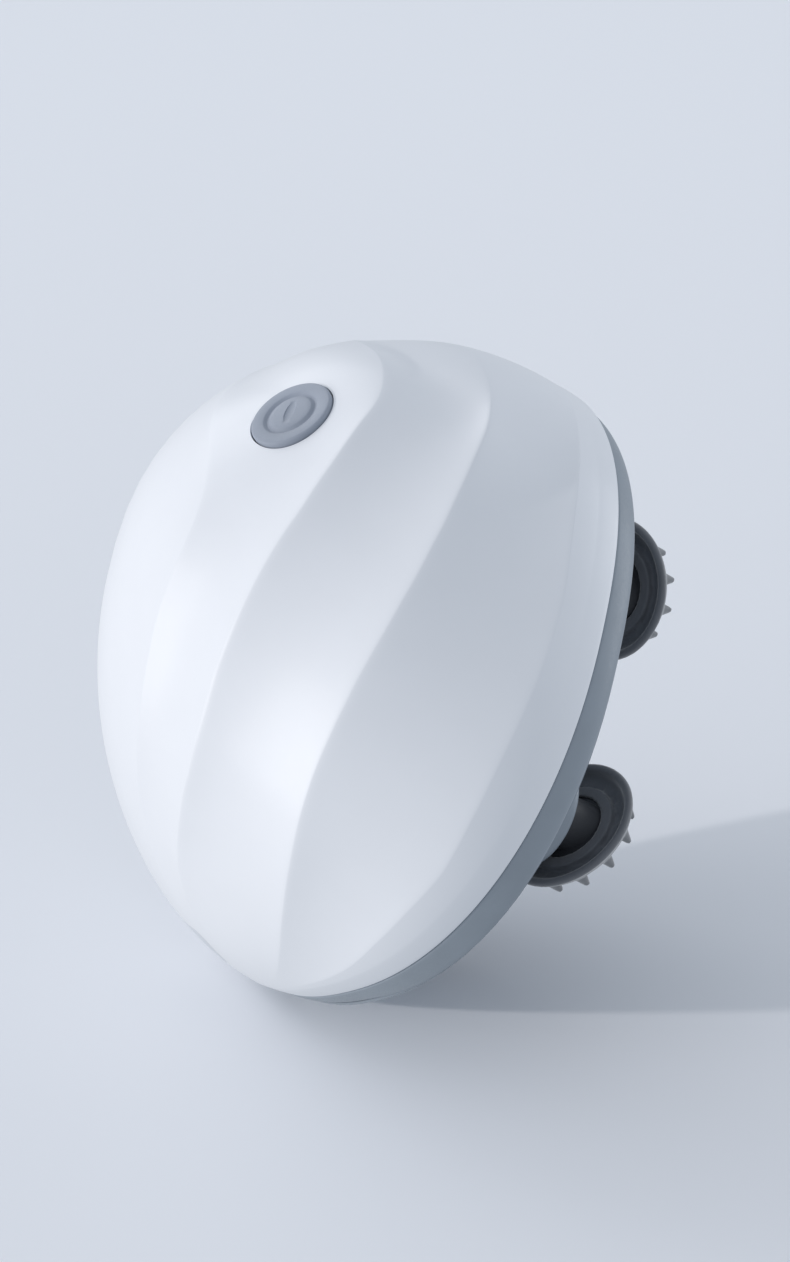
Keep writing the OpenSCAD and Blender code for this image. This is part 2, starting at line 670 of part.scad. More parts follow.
module reduction_gear() color(nylon) lift() translate([arbor_x, 0, 0]) union() {
    translate([0, 0, gear_low + gear_w + 1]) rotate(small_turn)
        gear(small_teeth, coarse_module, plate_low - 0.8 - gear_low - gear_w - 1);
    translate([0, 0, plate_low - 0.8 - eps]) cylinder(r = arbor_r, h = wheel_low - plate_low + 0.8 + 2*eps);
    translate([0, 0, wheel_low]) rotate(wheel_turn) difference() {
        gear(wheel_teeth, fine_module, wheel_w);
        round_each(6, wheel_teeth*fine_module*0.31, 0) translate([0, 0, -cut]) cylinder(r = 3.6, h = 10);
    }
    translate([0, 0, wheel_low + wheel_w - eps]) cylinder(r = 4, h = 0.6);
    translate([0, 0, wheel_low + wheel_w]) cylinder(r = arbor_tip_r, h = bracket_top - wheel_low - wheel_w - 0.2);
}

module centre_gear() color(nylon) lift(gear_low) rotate(centre_turn) difference() {
    gear(centre_teeth, coarse_module, plate_low - 0.8 - gear_low);
    translate([0, 0, -cut]) cylinder(r = pin_r + run_gap, h = 20);
    round_each(6, centre_teeth*coarse_module*0.29, 0) translate([0, 0, -cut]) cylinder(r = 2.8, h = 20);
}

module centre_pin() color(steel) lift(floor_low + 0.9) cylinder(r = pin_r, h = plate_top - 0.7 - floor_low - 0.9);

cell_x = motor_x - motor_r - 1.2 - cell_r;
cell_z = plate_top + cell_r + 3.2;
cradle_wall = 1.6;
module battery_cell() color(cell_blue) lift(cell_z) translate([cell_x, 0, 0]) rotate([90, 0, 0]) {
    rotate_extrude() polygon([[0, -cell_len/2], [cell_r - 0.5, -cell_len/2], [cell_r, -cell_len/2 + 0.5],
        [cell_r, cell_len/2 - 1.5], [cell_r - 0.5, cell_len/2 - 1], [2.6, cell_len/2 - 1],
        [2.6, cell_len/2], [0, cell_len/2]]);
}

module battery_cradle() color(black) lift(plate_top) translate([cell_x, 0, 0]) difference() {
    union() {
        translate([-cell_r - 0.8, -cell_len/2 - 2, 0]) cube([2*cell_r + 0.4, cell_len + 4, cell_r - 1]);
        for (s = [-1, 1]) translate([-cell_r + 1.5, s*(cell_len/2 + 1.1) - 0.9, 0])
            cube([2*cell_r - 3, 1.8, cell_r + 6]);
    }
    translate([0, cell_len/2 + 0.15, cell_z - plate_top]) rotate([90, 0, 0])
        cylinder(r = cell_r + plug_gap, h = cell_len + 0.3);
}

// Parts of a head. The hub holds its pad askew, so the head kneads as it turns.
// Heights with pad_ in their name are measured along the leaned axis from the lip
pad_lip = 0.7;
pad_wall = 2.3;
pad_face = -pad_wall - 0.6;
pad_tips = -pad_wall - finger_len;
edge_ring = pad_r - 2.3;
disc_r = 6.4;
disc_t = 0.9;
disc_skin = 0.5;
disc_low = pad_face + disc_skin;
tip_r = 0.4;
finger_r = 1.3;
sleeve_r = 4.2;
sleeve_hole = sleeve_r/cos(head_lean) - (disc_low + disc_t)*tan(head_lean) + 0.2;
sleeve_top = pedestal_low - 0.6;
// Height of the middle of the lip, which brings the lowest finger tip to zero
pad_z = -rim_z - pad_tips*cos(head_lean) + (edge_ring + tip_r)*sin(head_lean);
// The shaft ends above the disc's underside, also on the side where that rises
shaft_low = pad_z + disc_low/cos(head_lean) + (shaft_r + plug_gap)*tan(head_lean) + 0.3;

module at_lean(i) at_head(i) lift(pad_z) rotate(lean_turn + 180*(i%2)) rotate([0, -head_lean, 0])
    children();

module head_shaft() color(steel) lift(shaft_low) cylinder(r = shaft_r, h = plate_top - 0.2 - shaft_low);

module head_gear() color(nylon) lift(gear_low) rotate(head_gear_turn) difference() {
    gear(head_teeth, coarse_module, gear_w);
    translate([0, 0, -cut]) cylinder(r = shaft_r + plug_gap, h = 20);
    round_each(6, head_teeth*coarse_module*0.29, 0) translate([0, 0, -cut]) cylinder(r = 2, h = 20);
}

module head_bushing() color(bronze) lift() difference() {
    union() {
        translate([0, 0, pedestal_low + seal_pocket_h])
            cylinder(r = bushing_r, h = floor_top - pedestal_low - seal_pocket_h);
        translate([0, 0, floor_top]) cylinder(r = bushing_flange_r, h = bushing_flange_t);
    }
    translate([0, 0, pedestal_low]) cylinder(r = shaft_r + run_gap, h = 40);
}

module shaft_seal() color(black) lift(pedestal_low + 0.2)
    ring(seal_pocket_r, shaft_r + run_gap, seal_pocket_h - 0.2);

// Plastic hub: an upright sleeve pressed on the shaft, and a leaned disc in the silicone
module head_hub(i) color(black) difference() {
    union() {
        at_lean(i) translate([0, 0, disc_low]) cylinder(r = disc_r, h = disc_t);
        difference() {
            at_head(i) lift(pad_z - pad_r) cylinder(r = sleeve_r, h = sleeve_top - pad_z + pad_r);
            at_lean(i) translate([0, 0, disc_low - 20]) cylinder(r = pad_r, h = 20 + eps);
        }
    }
    at_head(i) lift(shaft_low) cylinder(r = shaft_r + plug_gap, h = 30);
}

// Silicone head: a shallow cup with a rolled lip, and three rings of blunt fingers
module head_pad(i) color(pad_grey) difference() {
    at_lean(i) union() {
        rotate_extrude($fn = 64) polygon(pad_profile());
        finger_ring(edge_fingers, edge_ring, -pad_wall + 0.4);
        finger_ring(middle_fingers, pad_r*0.56, pad_face + 0.3);
        finger_ring(inner_fingers, pad_r*0.25, pad_face + 0.3);
    }
    at_lean(i) {
        translate([0, 0, disc_low - plug_gap]) cylinder(r = disc_r + plug_gap, h = disc_t + 2*plug_gap);
        translate([0, 0, disc_low + disc_t]) cylinder(r = sleeve_hole, h = 20);
    }
}
function pad_profile() = concat(
    [[0, pad_face], [pad_r*0.68, pad_face]],
    [for (i = [1:5]) let (a = 90*i/5) [pad_r*0.68 + (pad_r*0.32 - pad_lip)*sin(a),
        pad_face + (pad_wall*0.3 + 0.6)*(1 - cos(a))]],
    [for (i = [0:6]) let (a = -60 + 240*i/6) [pad_r - pad_lip + pad_lip*cos(a), -pad_lip + pad_lip*sin(a)]],
    [for (i = [0:5]) let (a = 90*i/5) [pad_r - 2*pad_lip - 0.1 - 2.1*(1 - cos(a)),
        -pad_lip - 0.2 - (disc_low + 0.4 - pad_face + 0.3)*sin(a)]],
    [[disc_r + 0.9, disc_low + disc_t + disc_skin], [0, disc_low + disc_t + disc_skin]]);
// A ring of blunt cones that reach the plane of the tips
module finger_ring(count, ring, z) round_each(count, ring, 0) translate([0, 0, pad_tips])
    cylinder(r1 = tip_r, r2 = finger_r, h = z - pad_tips, $fn = 16);

top_shell();
base_ring();
bottom_cover();
seal_ring();
housing_screws();
power_button();
button_switch();
circuit_board();
board_screws();
charge_board();
charge_socket();
charge_plug();
chassis_plate();
chassis_screws();
motor_bracket();
bracket_screws();
motor_case();
motor_end_cap();
motor_shaft();
motor_pinion();
reduction_gear();
centre_gear();
centre_pin();
battery_cell();
battery_cradle();
for (i = [1:4]) {
    at_head(i) head_shaft();
    at_head(i) head_gear();
    head_hub(i);
    head_pad(i);
    at_head(i) head_bushing();
    at_head(i) shaft_seal();
}
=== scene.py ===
"""Looks of an electric pet massager.

It has a fluted dome, a grey base, a button, a port plug, four soft heads and the works inside. Sizes are
in millimetres and turned into metres as a mesh is made. Heights are measured from the seam between dome and
base, and Form.lift puts them into the frame of the CAD model.
"""

import json
import logging
import math
from dataclasses import dataclass, field
from enum import Enum
from typing import Iterable, Sequence

import bmesh
import bpy
import numpy as np
from mathutils import Matrix, Vector


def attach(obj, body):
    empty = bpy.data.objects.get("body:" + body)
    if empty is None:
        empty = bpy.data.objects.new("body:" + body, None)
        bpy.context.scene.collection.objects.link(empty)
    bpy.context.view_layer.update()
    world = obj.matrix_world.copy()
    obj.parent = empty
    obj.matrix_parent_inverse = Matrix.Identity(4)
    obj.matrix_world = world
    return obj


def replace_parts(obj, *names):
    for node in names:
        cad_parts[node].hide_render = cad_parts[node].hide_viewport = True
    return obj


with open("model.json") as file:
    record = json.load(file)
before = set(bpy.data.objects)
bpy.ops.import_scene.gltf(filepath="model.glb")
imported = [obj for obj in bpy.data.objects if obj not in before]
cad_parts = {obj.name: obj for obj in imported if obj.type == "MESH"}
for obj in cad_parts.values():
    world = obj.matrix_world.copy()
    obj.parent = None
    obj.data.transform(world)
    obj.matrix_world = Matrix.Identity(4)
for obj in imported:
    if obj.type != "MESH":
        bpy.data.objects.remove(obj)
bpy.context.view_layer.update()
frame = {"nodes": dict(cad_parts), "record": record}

MM = 0.001
TINY = 1e-6
LARGEST_POWER = 40.0
LOG = logging.getLogger("pet_massager")
Point = tuple[float, float, float]
Profile = list[tuple[float, float]]
Table = tuple[tuple[float, float], ...]


class Surface(Enum):
    """How the skin of a material is worked."""

    GLOSSY = "glossy"
    MOULDED = "moulded"
    SOFT = "soft"
    DRAWN = "drawn"
    TURNED = "turned"
    LAMINATE = "laminate"


METAL_STRETCH = {Surface.DRAWN: (1.0, 1.0, 0.04), Surface.TURNED: (0.12, 0.12, 1.0)}
NOISE_SPAN = (0.3, 0.7)
NOISE_ROUGHNESS = 0.55
COAT_ROUGHNESS = 0.18
SHEEN_ROUGHNESS = 0.45
BUMP_STRENGTH = 0.6
TONE_MM = 7.0
WEAVE_MM = 1.4


class Nodes:
    """A node tree that is filled with short calls."""

    def __init__(self, tree: bpy.types.NodeTree) -> None:
        """Keeps the tree that the nodes go into."""
        self.tree = tree

    def fill(self, node: bpy.types.Node, inputs: dict[str | int, object]) -> bpy.types.Node:
        """Sets or links the inputs of a node.

        Args:
            node: the node.
            inputs: for an input's name or number, its own value or the socket that feeds it.

        Returns:
            The same node.
        """
        for key, value in inputs.items():
            if isinstance(value, bpy.types.NodeSocket):
                self.tree.links.new(value, node.inputs[key])
            else:
                node.inputs[key].default_value = value
        return node

    def add(self, kind: str, inputs: dict[str | int, object]) -> bpy.types.Node:
        """Adds a node.

        Args:
            kind: its type, without the leading ShaderNode.
            inputs: as for fill.

        Returns:
            The new node.
        """
        return self.fill(self.tree.nodes.new(f"ShaderNode{kind}"), inputs)

    def noise(self, place: bpy.types.NodeSocket, size_mm: float, detail: float) -> bpy.types.NodeSocket:
        """Adds a noise of a real size.

        Args:
            place: coordinates in metres.
            size_mm: size of the blotches.
            detail: how many finer layers it has.

        Returns:
            The noise's factor.
        """
        scale = 1.0 / (size_mm * MM)
        inputs = {"Vector": place, "Scale": scale, "Detail": detail, "Roughness": NOISE_ROUGHNESS}
        return self.add("TexNoise", inputs).outputs["Fac"]


@dataclass(frozen=True)
class Finish:
    """A material and the record's slot that it belongs to.

    Attributes:
        slot: the slot's name in the record.
        colour: linear red, green and blue.
        roughness: the middle of the roughness range.
        surface: how the skin is worked.
        grain_mm: size of the fine grain.
        relief_mm: height of the fine grain.
        mottle: how much the colour wanders, as a share.
        coat: weight of the clear coat.
        sheen: weight of the soft sheen.
    """

    slot: str
    colour: Point
    roughness: float
    surface: Surface
    grain_mm: float = 0.3
    relief_mm: float = 0.01
    mottle: float = 0.04
    coat: float = 0.0
    sheen: float = 0.0

    def material(self) -> bpy.types.Material:
        """Gives the material, made once for each slot.

        Returns:
            The material with this finish's nodes.
        """
        name = f"finish_{self.slot}"
        return bpy.data.materials.get(name) or self._make(name)

    def _make(self, name: str) -> bpy.types.Material:
        """Builds the node tree.

        Args:
            name: what the material is called.

        Returns:
            The new material.
        """
        material = bpy.data.materials.new(name)
        material.use_nodes = True
        nodes = Nodes(material.node_tree)
        place = nodes.add("TexCoord", {}).outputs["Object"]
        metal = self.surface in METAL_STRETCH
        if metal:
            stretch = {"Scale": METAL_STRETCH[self.surface], "Vector": place}
            place = nodes.add("Mapping", stretch).outputs["Vector"]
        tone = nodes.noise(place, TONE_MM, 3.0)
        grain = nodes.noise(place, self.grain_mm, 2.0)
        height = self._weave(nodes, place) if self.surface is Surface.LAMINATE else grain
        depth = self.relief_mm * MM
        bump = nodes.add("Bump", {"Strength": BUMP_STRENGTH, "Distance": depth, "Height": height})
        nodes.fill(nodes.tree.nodes["Principled BSDF"], {
            "Metallic": 1.0 if metal else 0.0,
            "Coat Weight": self.coat,
            "Coat Roughness": COAT_ROUGHNESS,
            "Sheen Weight": self.sheen,
            "Sheen Roughness": SHEEN_ROUGHNESS,
            "Base Color": self._wandering_colour(nodes, tone),
            "Roughness": self._wandering_roughness(nodes, grain),
            "Normal": bump.outputs["Normal"]})
        return material

    def _wandering_colour(self, nodes: Nodes, tone: bpy.types.NodeSocket) -> bpy.types.NodeSocket:
        """Lets the colour wander a little with a noise.

        Args:
            nodes: the material's nodes.
            tone: the noise.

        Returns:
            A socket with the colour.
        """
        ramp = nodes.add("ValToRGB", {"Fac": tone})
        ends = (1.0 - self.mottle, 1.0 + self.mottle)
        for element, position, share in zip(ramp.color_ramp.elements, NOISE_SPAN, ends):
            element.position = position
            element.color = (*(min(1.0, c * share) for c in self.colour), 1.0)
        return ramp.outputs["Color"]

    def _wandering_roughness(self, nodes: Nodes, grain: bpy.types.NodeSocket) -> bpy.types.NodeSocket:
        """Spreads the roughness over a range, which is narrow on a glossy skin.

        Args:
            nodes: the material's nodes.
            grain: the noise that it follows.

        Returns:
            A socket with the roughness.
        """
        spread = 0.02 if self.surface is Surface.GLOSSY else 0.12
        return nodes.add("MapRange", {
            "Value": grain, "From Min": NOISE_SPAN[0], "From Max": NOISE_SPAN[1],
            "To Min": max(0.02, self.roughness - spread),
            "To Max": min(1.0, self.roughness + spread)}).outputs["Result"]

    @staticmethod
    def _weave(nodes: Nodes, place: bpy.types.NodeSocket) -> bpy.types.NodeSocket:
        """Height pattern of the woven glass in a circuit board.

        Args:
            nodes: the material's nodes.
            place: coordinates in metres.

        Returns:
            A socket with the height.
        """
        weave = nodes.add("TexVoronoi", {"Scale": 1.0 / (WEAVE_MM * MM), "Vector": place})
        weave.distance = "MANHATTAN"
        return weave.outputs["Distance"]


FINISHES = {finish.slot: finish for finish in (
    Finish("shell_white", (0.80, 0.82, 0.86), 0.36, Surface.GLOSSY, 1.1, 0.0008, 0.006, coat=0.10),
    Finish("base_grey", (0.27, 0.31, 0.355), 0.42, Surface.MOULDED, 0.25, 0.006, 0.04),
    Finish("button_rubber", (0.31, 0.345, 0.41), 0.55, Surface.SOFT, 0.2, 0.012, 0.05, sheen=0.15),
    Finish("port_rubber", (0.62, 0.65, 0.70), 0.50, Surface.SOFT, 0.2, 0.01, 0.03, sheen=0.1),
    Finish("head_silicone", (0.12, 0.127, 0.142), 0.50, Surface.SOFT, 0.25, 0.012, 0.08, sheen=0.7),
    Finish("gasket_black", (0.02, 0.02, 0.022), 0.55, Surface.SOFT, 0.3, 0.01),
    Finish("black_plastic", (0.045, 0.048, 0.055), 0.45, Surface.MOULDED, 0.3, 0.012),
    Finish("board", (0.02, 0.11, 0.05), 0.35, Surface.LAMINATE, 0.8, 0.02, 0.12, coat=0.3),
    Finish("nickel", (0.62, 0.61, 0.58), 0.25, Surface.DRAWN, 0.15, 0.002),
    Finish("bracket_steel", (0.52, 0.54, 0.56), 0.34, Surface.DRAWN, 0.3, 0.003, 0.06),
    Finish("motor_steel", (0.56, 0.57, 0.60), 0.30, Surface.DRAWN, 0.2, 0.003, 0.05),
    Finish("shaft_steel", (0.60, 0.61, 0.63), 0.20, Surface.TURNED, 0.12, 0.002, 0.03),
    Finish("screw_steel", (0.50, 0.51, 0.53), 0.32, Surface.TURNED, 0.15, 0.003, 0.05),
    Finish("pinion_brass", (0.58, 0.42, 0.16), 0.28, Surface.TURNED, 0.15, 0.002, 0.05),
    Finish("bushing_bronze", (0.40, 0.25, 0.11), 0.42, Surface.TURNED, 0.12, 0.006, 0.10),
    Finish("gear_nylon", (0.70, 0.68, 0.58), 0.42, Surface.MOULDED, 0.4, 0.008, 0.03),
    Finish("cell_wrap", (0.02, 0.08, 0.28), 0.22, Surface.GLOSSY, 1.5, 0.01, 0.05, coat=0.5))}


class Mesher:
    """Small tools that turn points in millimetres into Blender objects in metres."""

    @staticmethod
    def new(name: str, points: np.ndarray, faces: Iterable[Sequence[int]]) -> bpy.types.Object:
        """Makes an object from points and faces.

        Args:
            name: the object's name.
            points: rows of x, y and z, in millimetres, in the CAD frame.
            faces: rows of point numbers.

        Returns:
            The object, linked to the scene.
        """
        mesh = bpy.data.meshes.new(name)
        mesh.from_pydata((np.asarray(points, float) * MM).tolist(), [], [list(f) for f in faces])
        mesh.validate()
        made = bpy.data.objects.new(name, mesh)
        bpy.context.scene.collection.objects.link(made)
        return made

    @staticmethod
    def baked(piece: bpy.types.Object) -> bpy.types.Object:
        """Applies all modifiers of an object.

        Args:
            piece: an object with modifiers.

        Returns:
            The same object, with its final mesh.
        """
        bpy.context.view_layer.update()
        graph = bpy.context.evaluated_depsgraph_get()
        mesh = bpy.data.meshes.new_from_object(piece.evaluated_get(graph))
        piece.modifiers.clear()
        piece.data = mesh
        return piece

    @classmethod
    def combine(cls, piece: bpy.types.Object, tool: bpy.types.Object, operation: str) -> bpy.types.Object:
        """Cuts, joins or trims an object with another, which is then removed.

        Args:
            piece: the object that stays.
            tool: the object that it is combined with.
            operation: DIFFERENCE, UNION or INTERSECT.

        Returns:
            The object with its new mesh.
        """
        step = piece.modifiers.new("combine", "BOOLEAN")
        step.operation = operation
        step.solver = "MANIFOLD"
        step.object = tool
        cls.baked(piece)
        bpy.data.objects.remove(tool)
        return piece

    @staticmethod
    def dress(piece: bpy.types.Object, slot: str, sharp_deg: float = 40.0) -> None:
        """Shades an object smooth, but for edges past an angle, and gives it its only material.

        Args:
            piece: the object, which may still have the empty slot that a boolean leaves.
            slot: the record's slot whose finish it takes.
            sharp_deg: edges that turn by more than this stay sharp.
        """
        mesh = piece.data
        mesh.polygons.foreach_set("use_smooth", [True] * len(mesh.polygons))
        mesh.set_sharp_from_angle(angle=math.radians(sharp_deg))
        mesh.materials.clear()
        mesh.materials.append(FINISHES[slot].material())

    @staticmethod
    def skin(loops: Sequence[Sequence[int]]) -> list[tuple[int, ...]]:
        """Faces between closed loops of points, from each loop to the next.

        Args:
            loops: the loops' point numbers, all in step.

        Returns:
            The faces.
        """
        count = len(loops[0])
        return [(low[j], low[(j + 1) % count], high[(j + 1) % count], high[j])
                for low, high in zip(loops, loops[1:]) for j in range(count)]

    @classmethod
    def lathe(cls, name: str, profile: Profile, place: Matrix, segments: int = 96) -> bpy.types.Object:
        """Turns a profile about an axis into a closed skin.

        Args:
            name: the object's name.
            profile: radius and height of each point in millimetres, from the axis and back to it.
            place: from the profile's own frame to the CAD frame, in millimetres.
            segments: steps round the axis.

        Returns:
            The new object.
        """
        rings = [p for p in profile if p[0] > TINY]
        turns = np.linspace(0.0, 2.0 * math.pi, segments, endpoint=False)
        points = [(r * math.cos(a), r * math.sin(a), z) for r, z in rings for a in turns]
        loops = [range(i * segments, (i + 1) * segments) for i in range(len(rings))]
        last = loops[-1]
        points += [(0.0, 0.0, profile[0][1]), (0.0, 0.0, profile[-1][1])]
        first_hub, last_hub = len(points) - 2, len(points) - 1
        faces = cls.skin(loops)
        faces += [(first_hub, (j + 1) % segments, j) for j in range(segments)]
        faces += [(last_hub, last[j], last[(j + 1) % segments]) for j in range(segments)]
        return cls.outward(cls.new(name, cls.moved(points, place), faces))

    @staticmethod
    def moved(points: Sequence[Sequence[float]], place: Matrix) -> np.ndarray:
        """Moves points by a matrix."""
        return np.array([place @ Vector(p) for p in points], float)

    @staticmethod
    def outward(piece: bpy.types.Object) -> bpy.types.Object:
        """Turns all faces of a closed mesh outwards."""
        edit = bmesh.new()
        edit.from_mesh(piece.data)
        bmesh.ops.recalc_face_normals(edit, faces=edit.faces)
        edit.to_mesh(piece.data)
        edit.free()
        return piece

    @classmethod
    def bar(cls, name: str, outline: Profile, low: float, high: float, place: Matrix) -> bpy.types.Object:
        """A straight bar of a given outline.

        Args:
            name: the object's name.
            outline: the section's points, in millimetres.
            low: where the bar starts along its own z.
            high: where it ends.
            place: from the bar's frame to the CAD frame, in millimetres.

        Returns:
            The new object.
        """
        count = len(outline)
        points = [(x, y, z) for z in (low, high) for x, y in outline]
        faces = cls.skin([range(count), range(count, 2 * count)])
        faces += [tuple(range(count - 1, -1, -1)), tuple(range(count, 2 * count))]
        return cls.outward(cls.new(name, cls.moved(points, place), faces))


def round_rectangle(width: float, height: float, corner: float, steps: int = 8) -> Profile:
    """Outline of a rectangle with round corners.

    Args:
        width: size along x.
        height: size along y.
        corner: radius of the corners.
        steps: steps in each corner.

    Returns:
        The points, anticlockwise.
    """
    corners = ((1, 1, 0), (-1, 1, 90), (-1, -1, 180), (1, -1, 270))
    x, y = width / 2 - corner, height / 2 - corner
    arc = [(sx, sy, math.radians(base + 90.0 * k / steps))
           for sx, sy, base in corners for k in range(steps + 1)]
    return [(sx * x + corner * math.cos(a), sy * y + corner * math.sin(a)) for sx, sy, a in arc]


RIDGE_SHIFTS: dict[float, Profile] = {
    7: [(-90, 0), (-70, -5), (-60, -4.5), (-50, -2.6), (-40, -2.3), (-30, -3), (-20, -1.5), (-10, -0.6),
        (0, -0.5), (10, -0.5), (20, -0.2), (30, 1.5), (36, 2.2), (40, 2.4), (43, 2.5), (48, 2.5),
        (50, 2.6), (52, 2.6), (54, 2.5), (57, 2.4), (62, 2), (75, 1), (90, 0)],
    34: [(-90, 0), (-70, 3), (-60, 3.7), (-50, 3.4), (-40, 2.4), (-30, 1.35), (-20, 0.8), (-10, 0.35),
        (0, -0.6), (10, -1.3), (20, -1.25), (30, -0.35), (36, 0.4), (40, 0.8), (43, 1.3), (46, 1.95),
        (48, 2.2), (50, 2.2), (52, 1.9), (54, 1.5), (57, 1), (62, 0.5), (75, 0), (90, 0)],
    57: [(-90, 0), (-70, 12), (-60, 8), (-50, 3.3), (-40, 1.6), (-30, 2), (-20, 1.85), (-10, 0.8),
        (10, -1.4), (20, -1), (30, 0.2), (36, -0.2), (40, -1.5), (43, -3.4), (46, -4.7), (48, -4.4),
        (50, -2.1), (52, 5), (54, 9), (57, 10), (62, 5), (75, 0), (90, 0)],
    78: [(-90, 0), (-30, 0), (-20, -1), (-10, -2.5), (0, -3.5), (10, -3), (20, -1.5), (30, -0.5), (36, 0),
        (90, 0)]}


@dataclass
class Form:
    """The form that dome and base share: its outline, its height and its flutes.

    It follows the CAD model's form. It is a hair smaller, because the CAD's facets lie just inside that
    form, and its ridges are drawn closer to the photograph's. A line over the dome has a name u from 0 to
    180, and t runs along it from -90 to 90 degrees. RIDGE_SHIFTS gives, for a ridge's u, how many degrees it
    is moved at each t.
    """

    rim_r: float = 49.97
    rim_stretch: float = 1.065
    rim_square: float = 2.25
    rim_turn: float = 19.5
    rim_z: float = 27.5
    dome_h: float = 51.63
    belly_z: float = 4.0
    crown_shift: float = 9.3
    height_power: float = 1.87
    girth_power: float = 1.90
    lean_power: float = 1.3
    ridge_lean: float = 0.08
    edge_lines: float = 6.0
    ridges: tuple[float, ...] = (0, 7, 34, 57, 78, 124, 150, 173, 180)
    depths: tuple[float, ...] = (0, 1.5, 1.9, 1.2, 0, 1.2, 1.1, 0)
    sweep_start: Table = ((0, 80), (34, 50), (57, 39), (78, 8), (180, -60))
    sweep_rate: Table = ((0, 0), (34, 1.5), (57, 2.5), (78, 1.3), (180, 0.3))
    sweep_soft: float = 3.0
    spread_start: float = 30.0
    spread_rate: Table = ((0, 0), (34, -0.3), (45, 0), (57, 0.45), (78, 0.6), (180, 0))
    spread_soft: float = 4.0
    shift_step: float = 0.5
    shift_blur: float = 1.5
    fade_low: tuple[float, float] = (82, 45)
    fade_high: tuple[float, float] = (72, 32)
    panel: int = 3
    panel_low: tuple[float, float] = (75, 55)
    panel_high: tuple[float, float] = (47, 17)
    crest_round: float = 0.07

    def lift(self, points: np.ndarray) -> np.ndarray:
        """Moves points from the seam's level to the CAD frame."""
        return points + np.array([0.0, 0.0, self.rim_z])

    def outline(self, turn: np.ndarray) -> np.ndarray:
        """Plan outline for a radius of one.

        Args:
            turn: directions in plan, in radians.

        Returns:
            Rows of x and y.
        """
        c = np.abs(np.cos(turn - math.radians(self.rim_turn)))
        s = np.abs(np.sin(turn - math.radians(self.rim_turn)))
        r = (c ** self.rim_square + s ** self.rim_square) ** (-1.0 / self.rim_square)
        return np.stack([self.rim_stretch * r * np.cos(turn), r * np.sin(turn)], -1)

    def skirt_scale(self, z: float) -> float:
        """How far the dome draws in below its widest line."""
        return 1.0 - ((self.belly_z - z) / self.dome_h) ** 2

    def dome_point(self, d: np.ndarray) -> np.ndarray:
        """Points of the smooth dome.

        Args:
            d: rows of unit directions.

        Returns:
            Rows of x, y and z.
        """
        up = np.arcsin(np.clip(d[..., 2], 0.0, 1.0))
        z = self.belly_z + (self.dome_h - self.belly_z) * np.sin(up) ** (2.0 / self.height_power)
        r = self.rim_r * np.maximum(0.0, np.cos(up)) ** (2.0 / self.girth_power)
        p = self.outline(np.arctan2(d[..., 1], d[..., 0])) * r[..., None]
        lean = self.crown_shift * (z / self.dome_h) ** self.lean_power
        return np.stack([p[..., 0], p[..., 1] + lean, z], -1)

    @staticmethod
    def _table(u: np.ndarray, rows: Sequence[tuple[float, float]]) -> np.ndarray:
        """Looks values up in a table by straight lines."""
        return np.interp(u, [r[0] for r in rows], [r[1] for r in rows])

    @staticmethod
    def _onset(past: np.ndarray, soft: float) -> np.ndarray:
        """A value that is 0 before a start, grows with the distance past it, and bends softly in between."""
        return soft * np.log1p(np.exp(np.minimum(LARGEST_POWER, past / soft)))

    def ridge_angle(self, u: np.ndarray, t: np.ndarray) -> np.ndarray:
        """Angle over the dome of the line u, at t degrees along it.

        Args:
            u: names of the lines, from 0 to 180.
            t: degrees along them, from -90 to 90.

        Returns:
            The angles, in degrees.
        """
        side = np.minimum(1.0, np.minimum(u, 180.0 - u) / self.edge_lines)
        run = self._onset(t - self._table(u, self.sweep_start), self.sweep_soft)
        back = self._onset(-t - self.spread_start, self.spread_soft)
        move = side * (self._table(u, self.sweep_rate) * run + self._table(u, self.spread_rate) * back
                       - self.ridge_lean * t)
        over = np.maximum(180.0 - u, TINY)
        under = np.maximum(u, TINY)
        up = 180.0 - over * np.exp(-np.maximum(move, 0.0) / over)
        down = under * np.exp(np.minimum(move, 0.0) / under)
        angle = np.where(move > 0.0, up, down)
        return np.where(u <= 0.0, 0.0, np.where(u >= 180.0, 180.0, angle))

    def shift(self, u: np.ndarray, t: np.ndarray) -> np.ndarray:
        """How far the lines are moved by RIDGE_SHIFTS, which is rounded off along them.

        Args:
            u: names of the lines, from 0 to 180.
            t: degrees along them.

        Returns:
            The shifts, in degrees.
        """
        fine = np.arange(-96.0, 97.0, self.shift_step)
        blur = np.exp(-0.5 * (np.arange(-8, 9) * self.shift_step / self.shift_blur) ** 2)
        blur /= blur.sum()
        rows = [np.convolve(self._table(fine, row), blur, "same") for row in RIDGE_SHIFTS.values()]
        flat = np.zeros(len(fine))
        here = np.array([np.interp(t, fine, row) for row in (flat, *rows, flat)])
        lines = np.array([0.0, *RIDGE_SHIFTS, 180.0])
        at = np.clip(np.searchsorted(lines, u, side="right") - 1, 0, len(lines) - 2)
        f = (u - lines[at]) / (lines[at + 1] - lines[at])
        low = np.take_along_axis(here, at[None], 0)[0]
        high = np.take_along_axis(here, at[None] + 1, 0)[0]
        return low + (high - low) * f

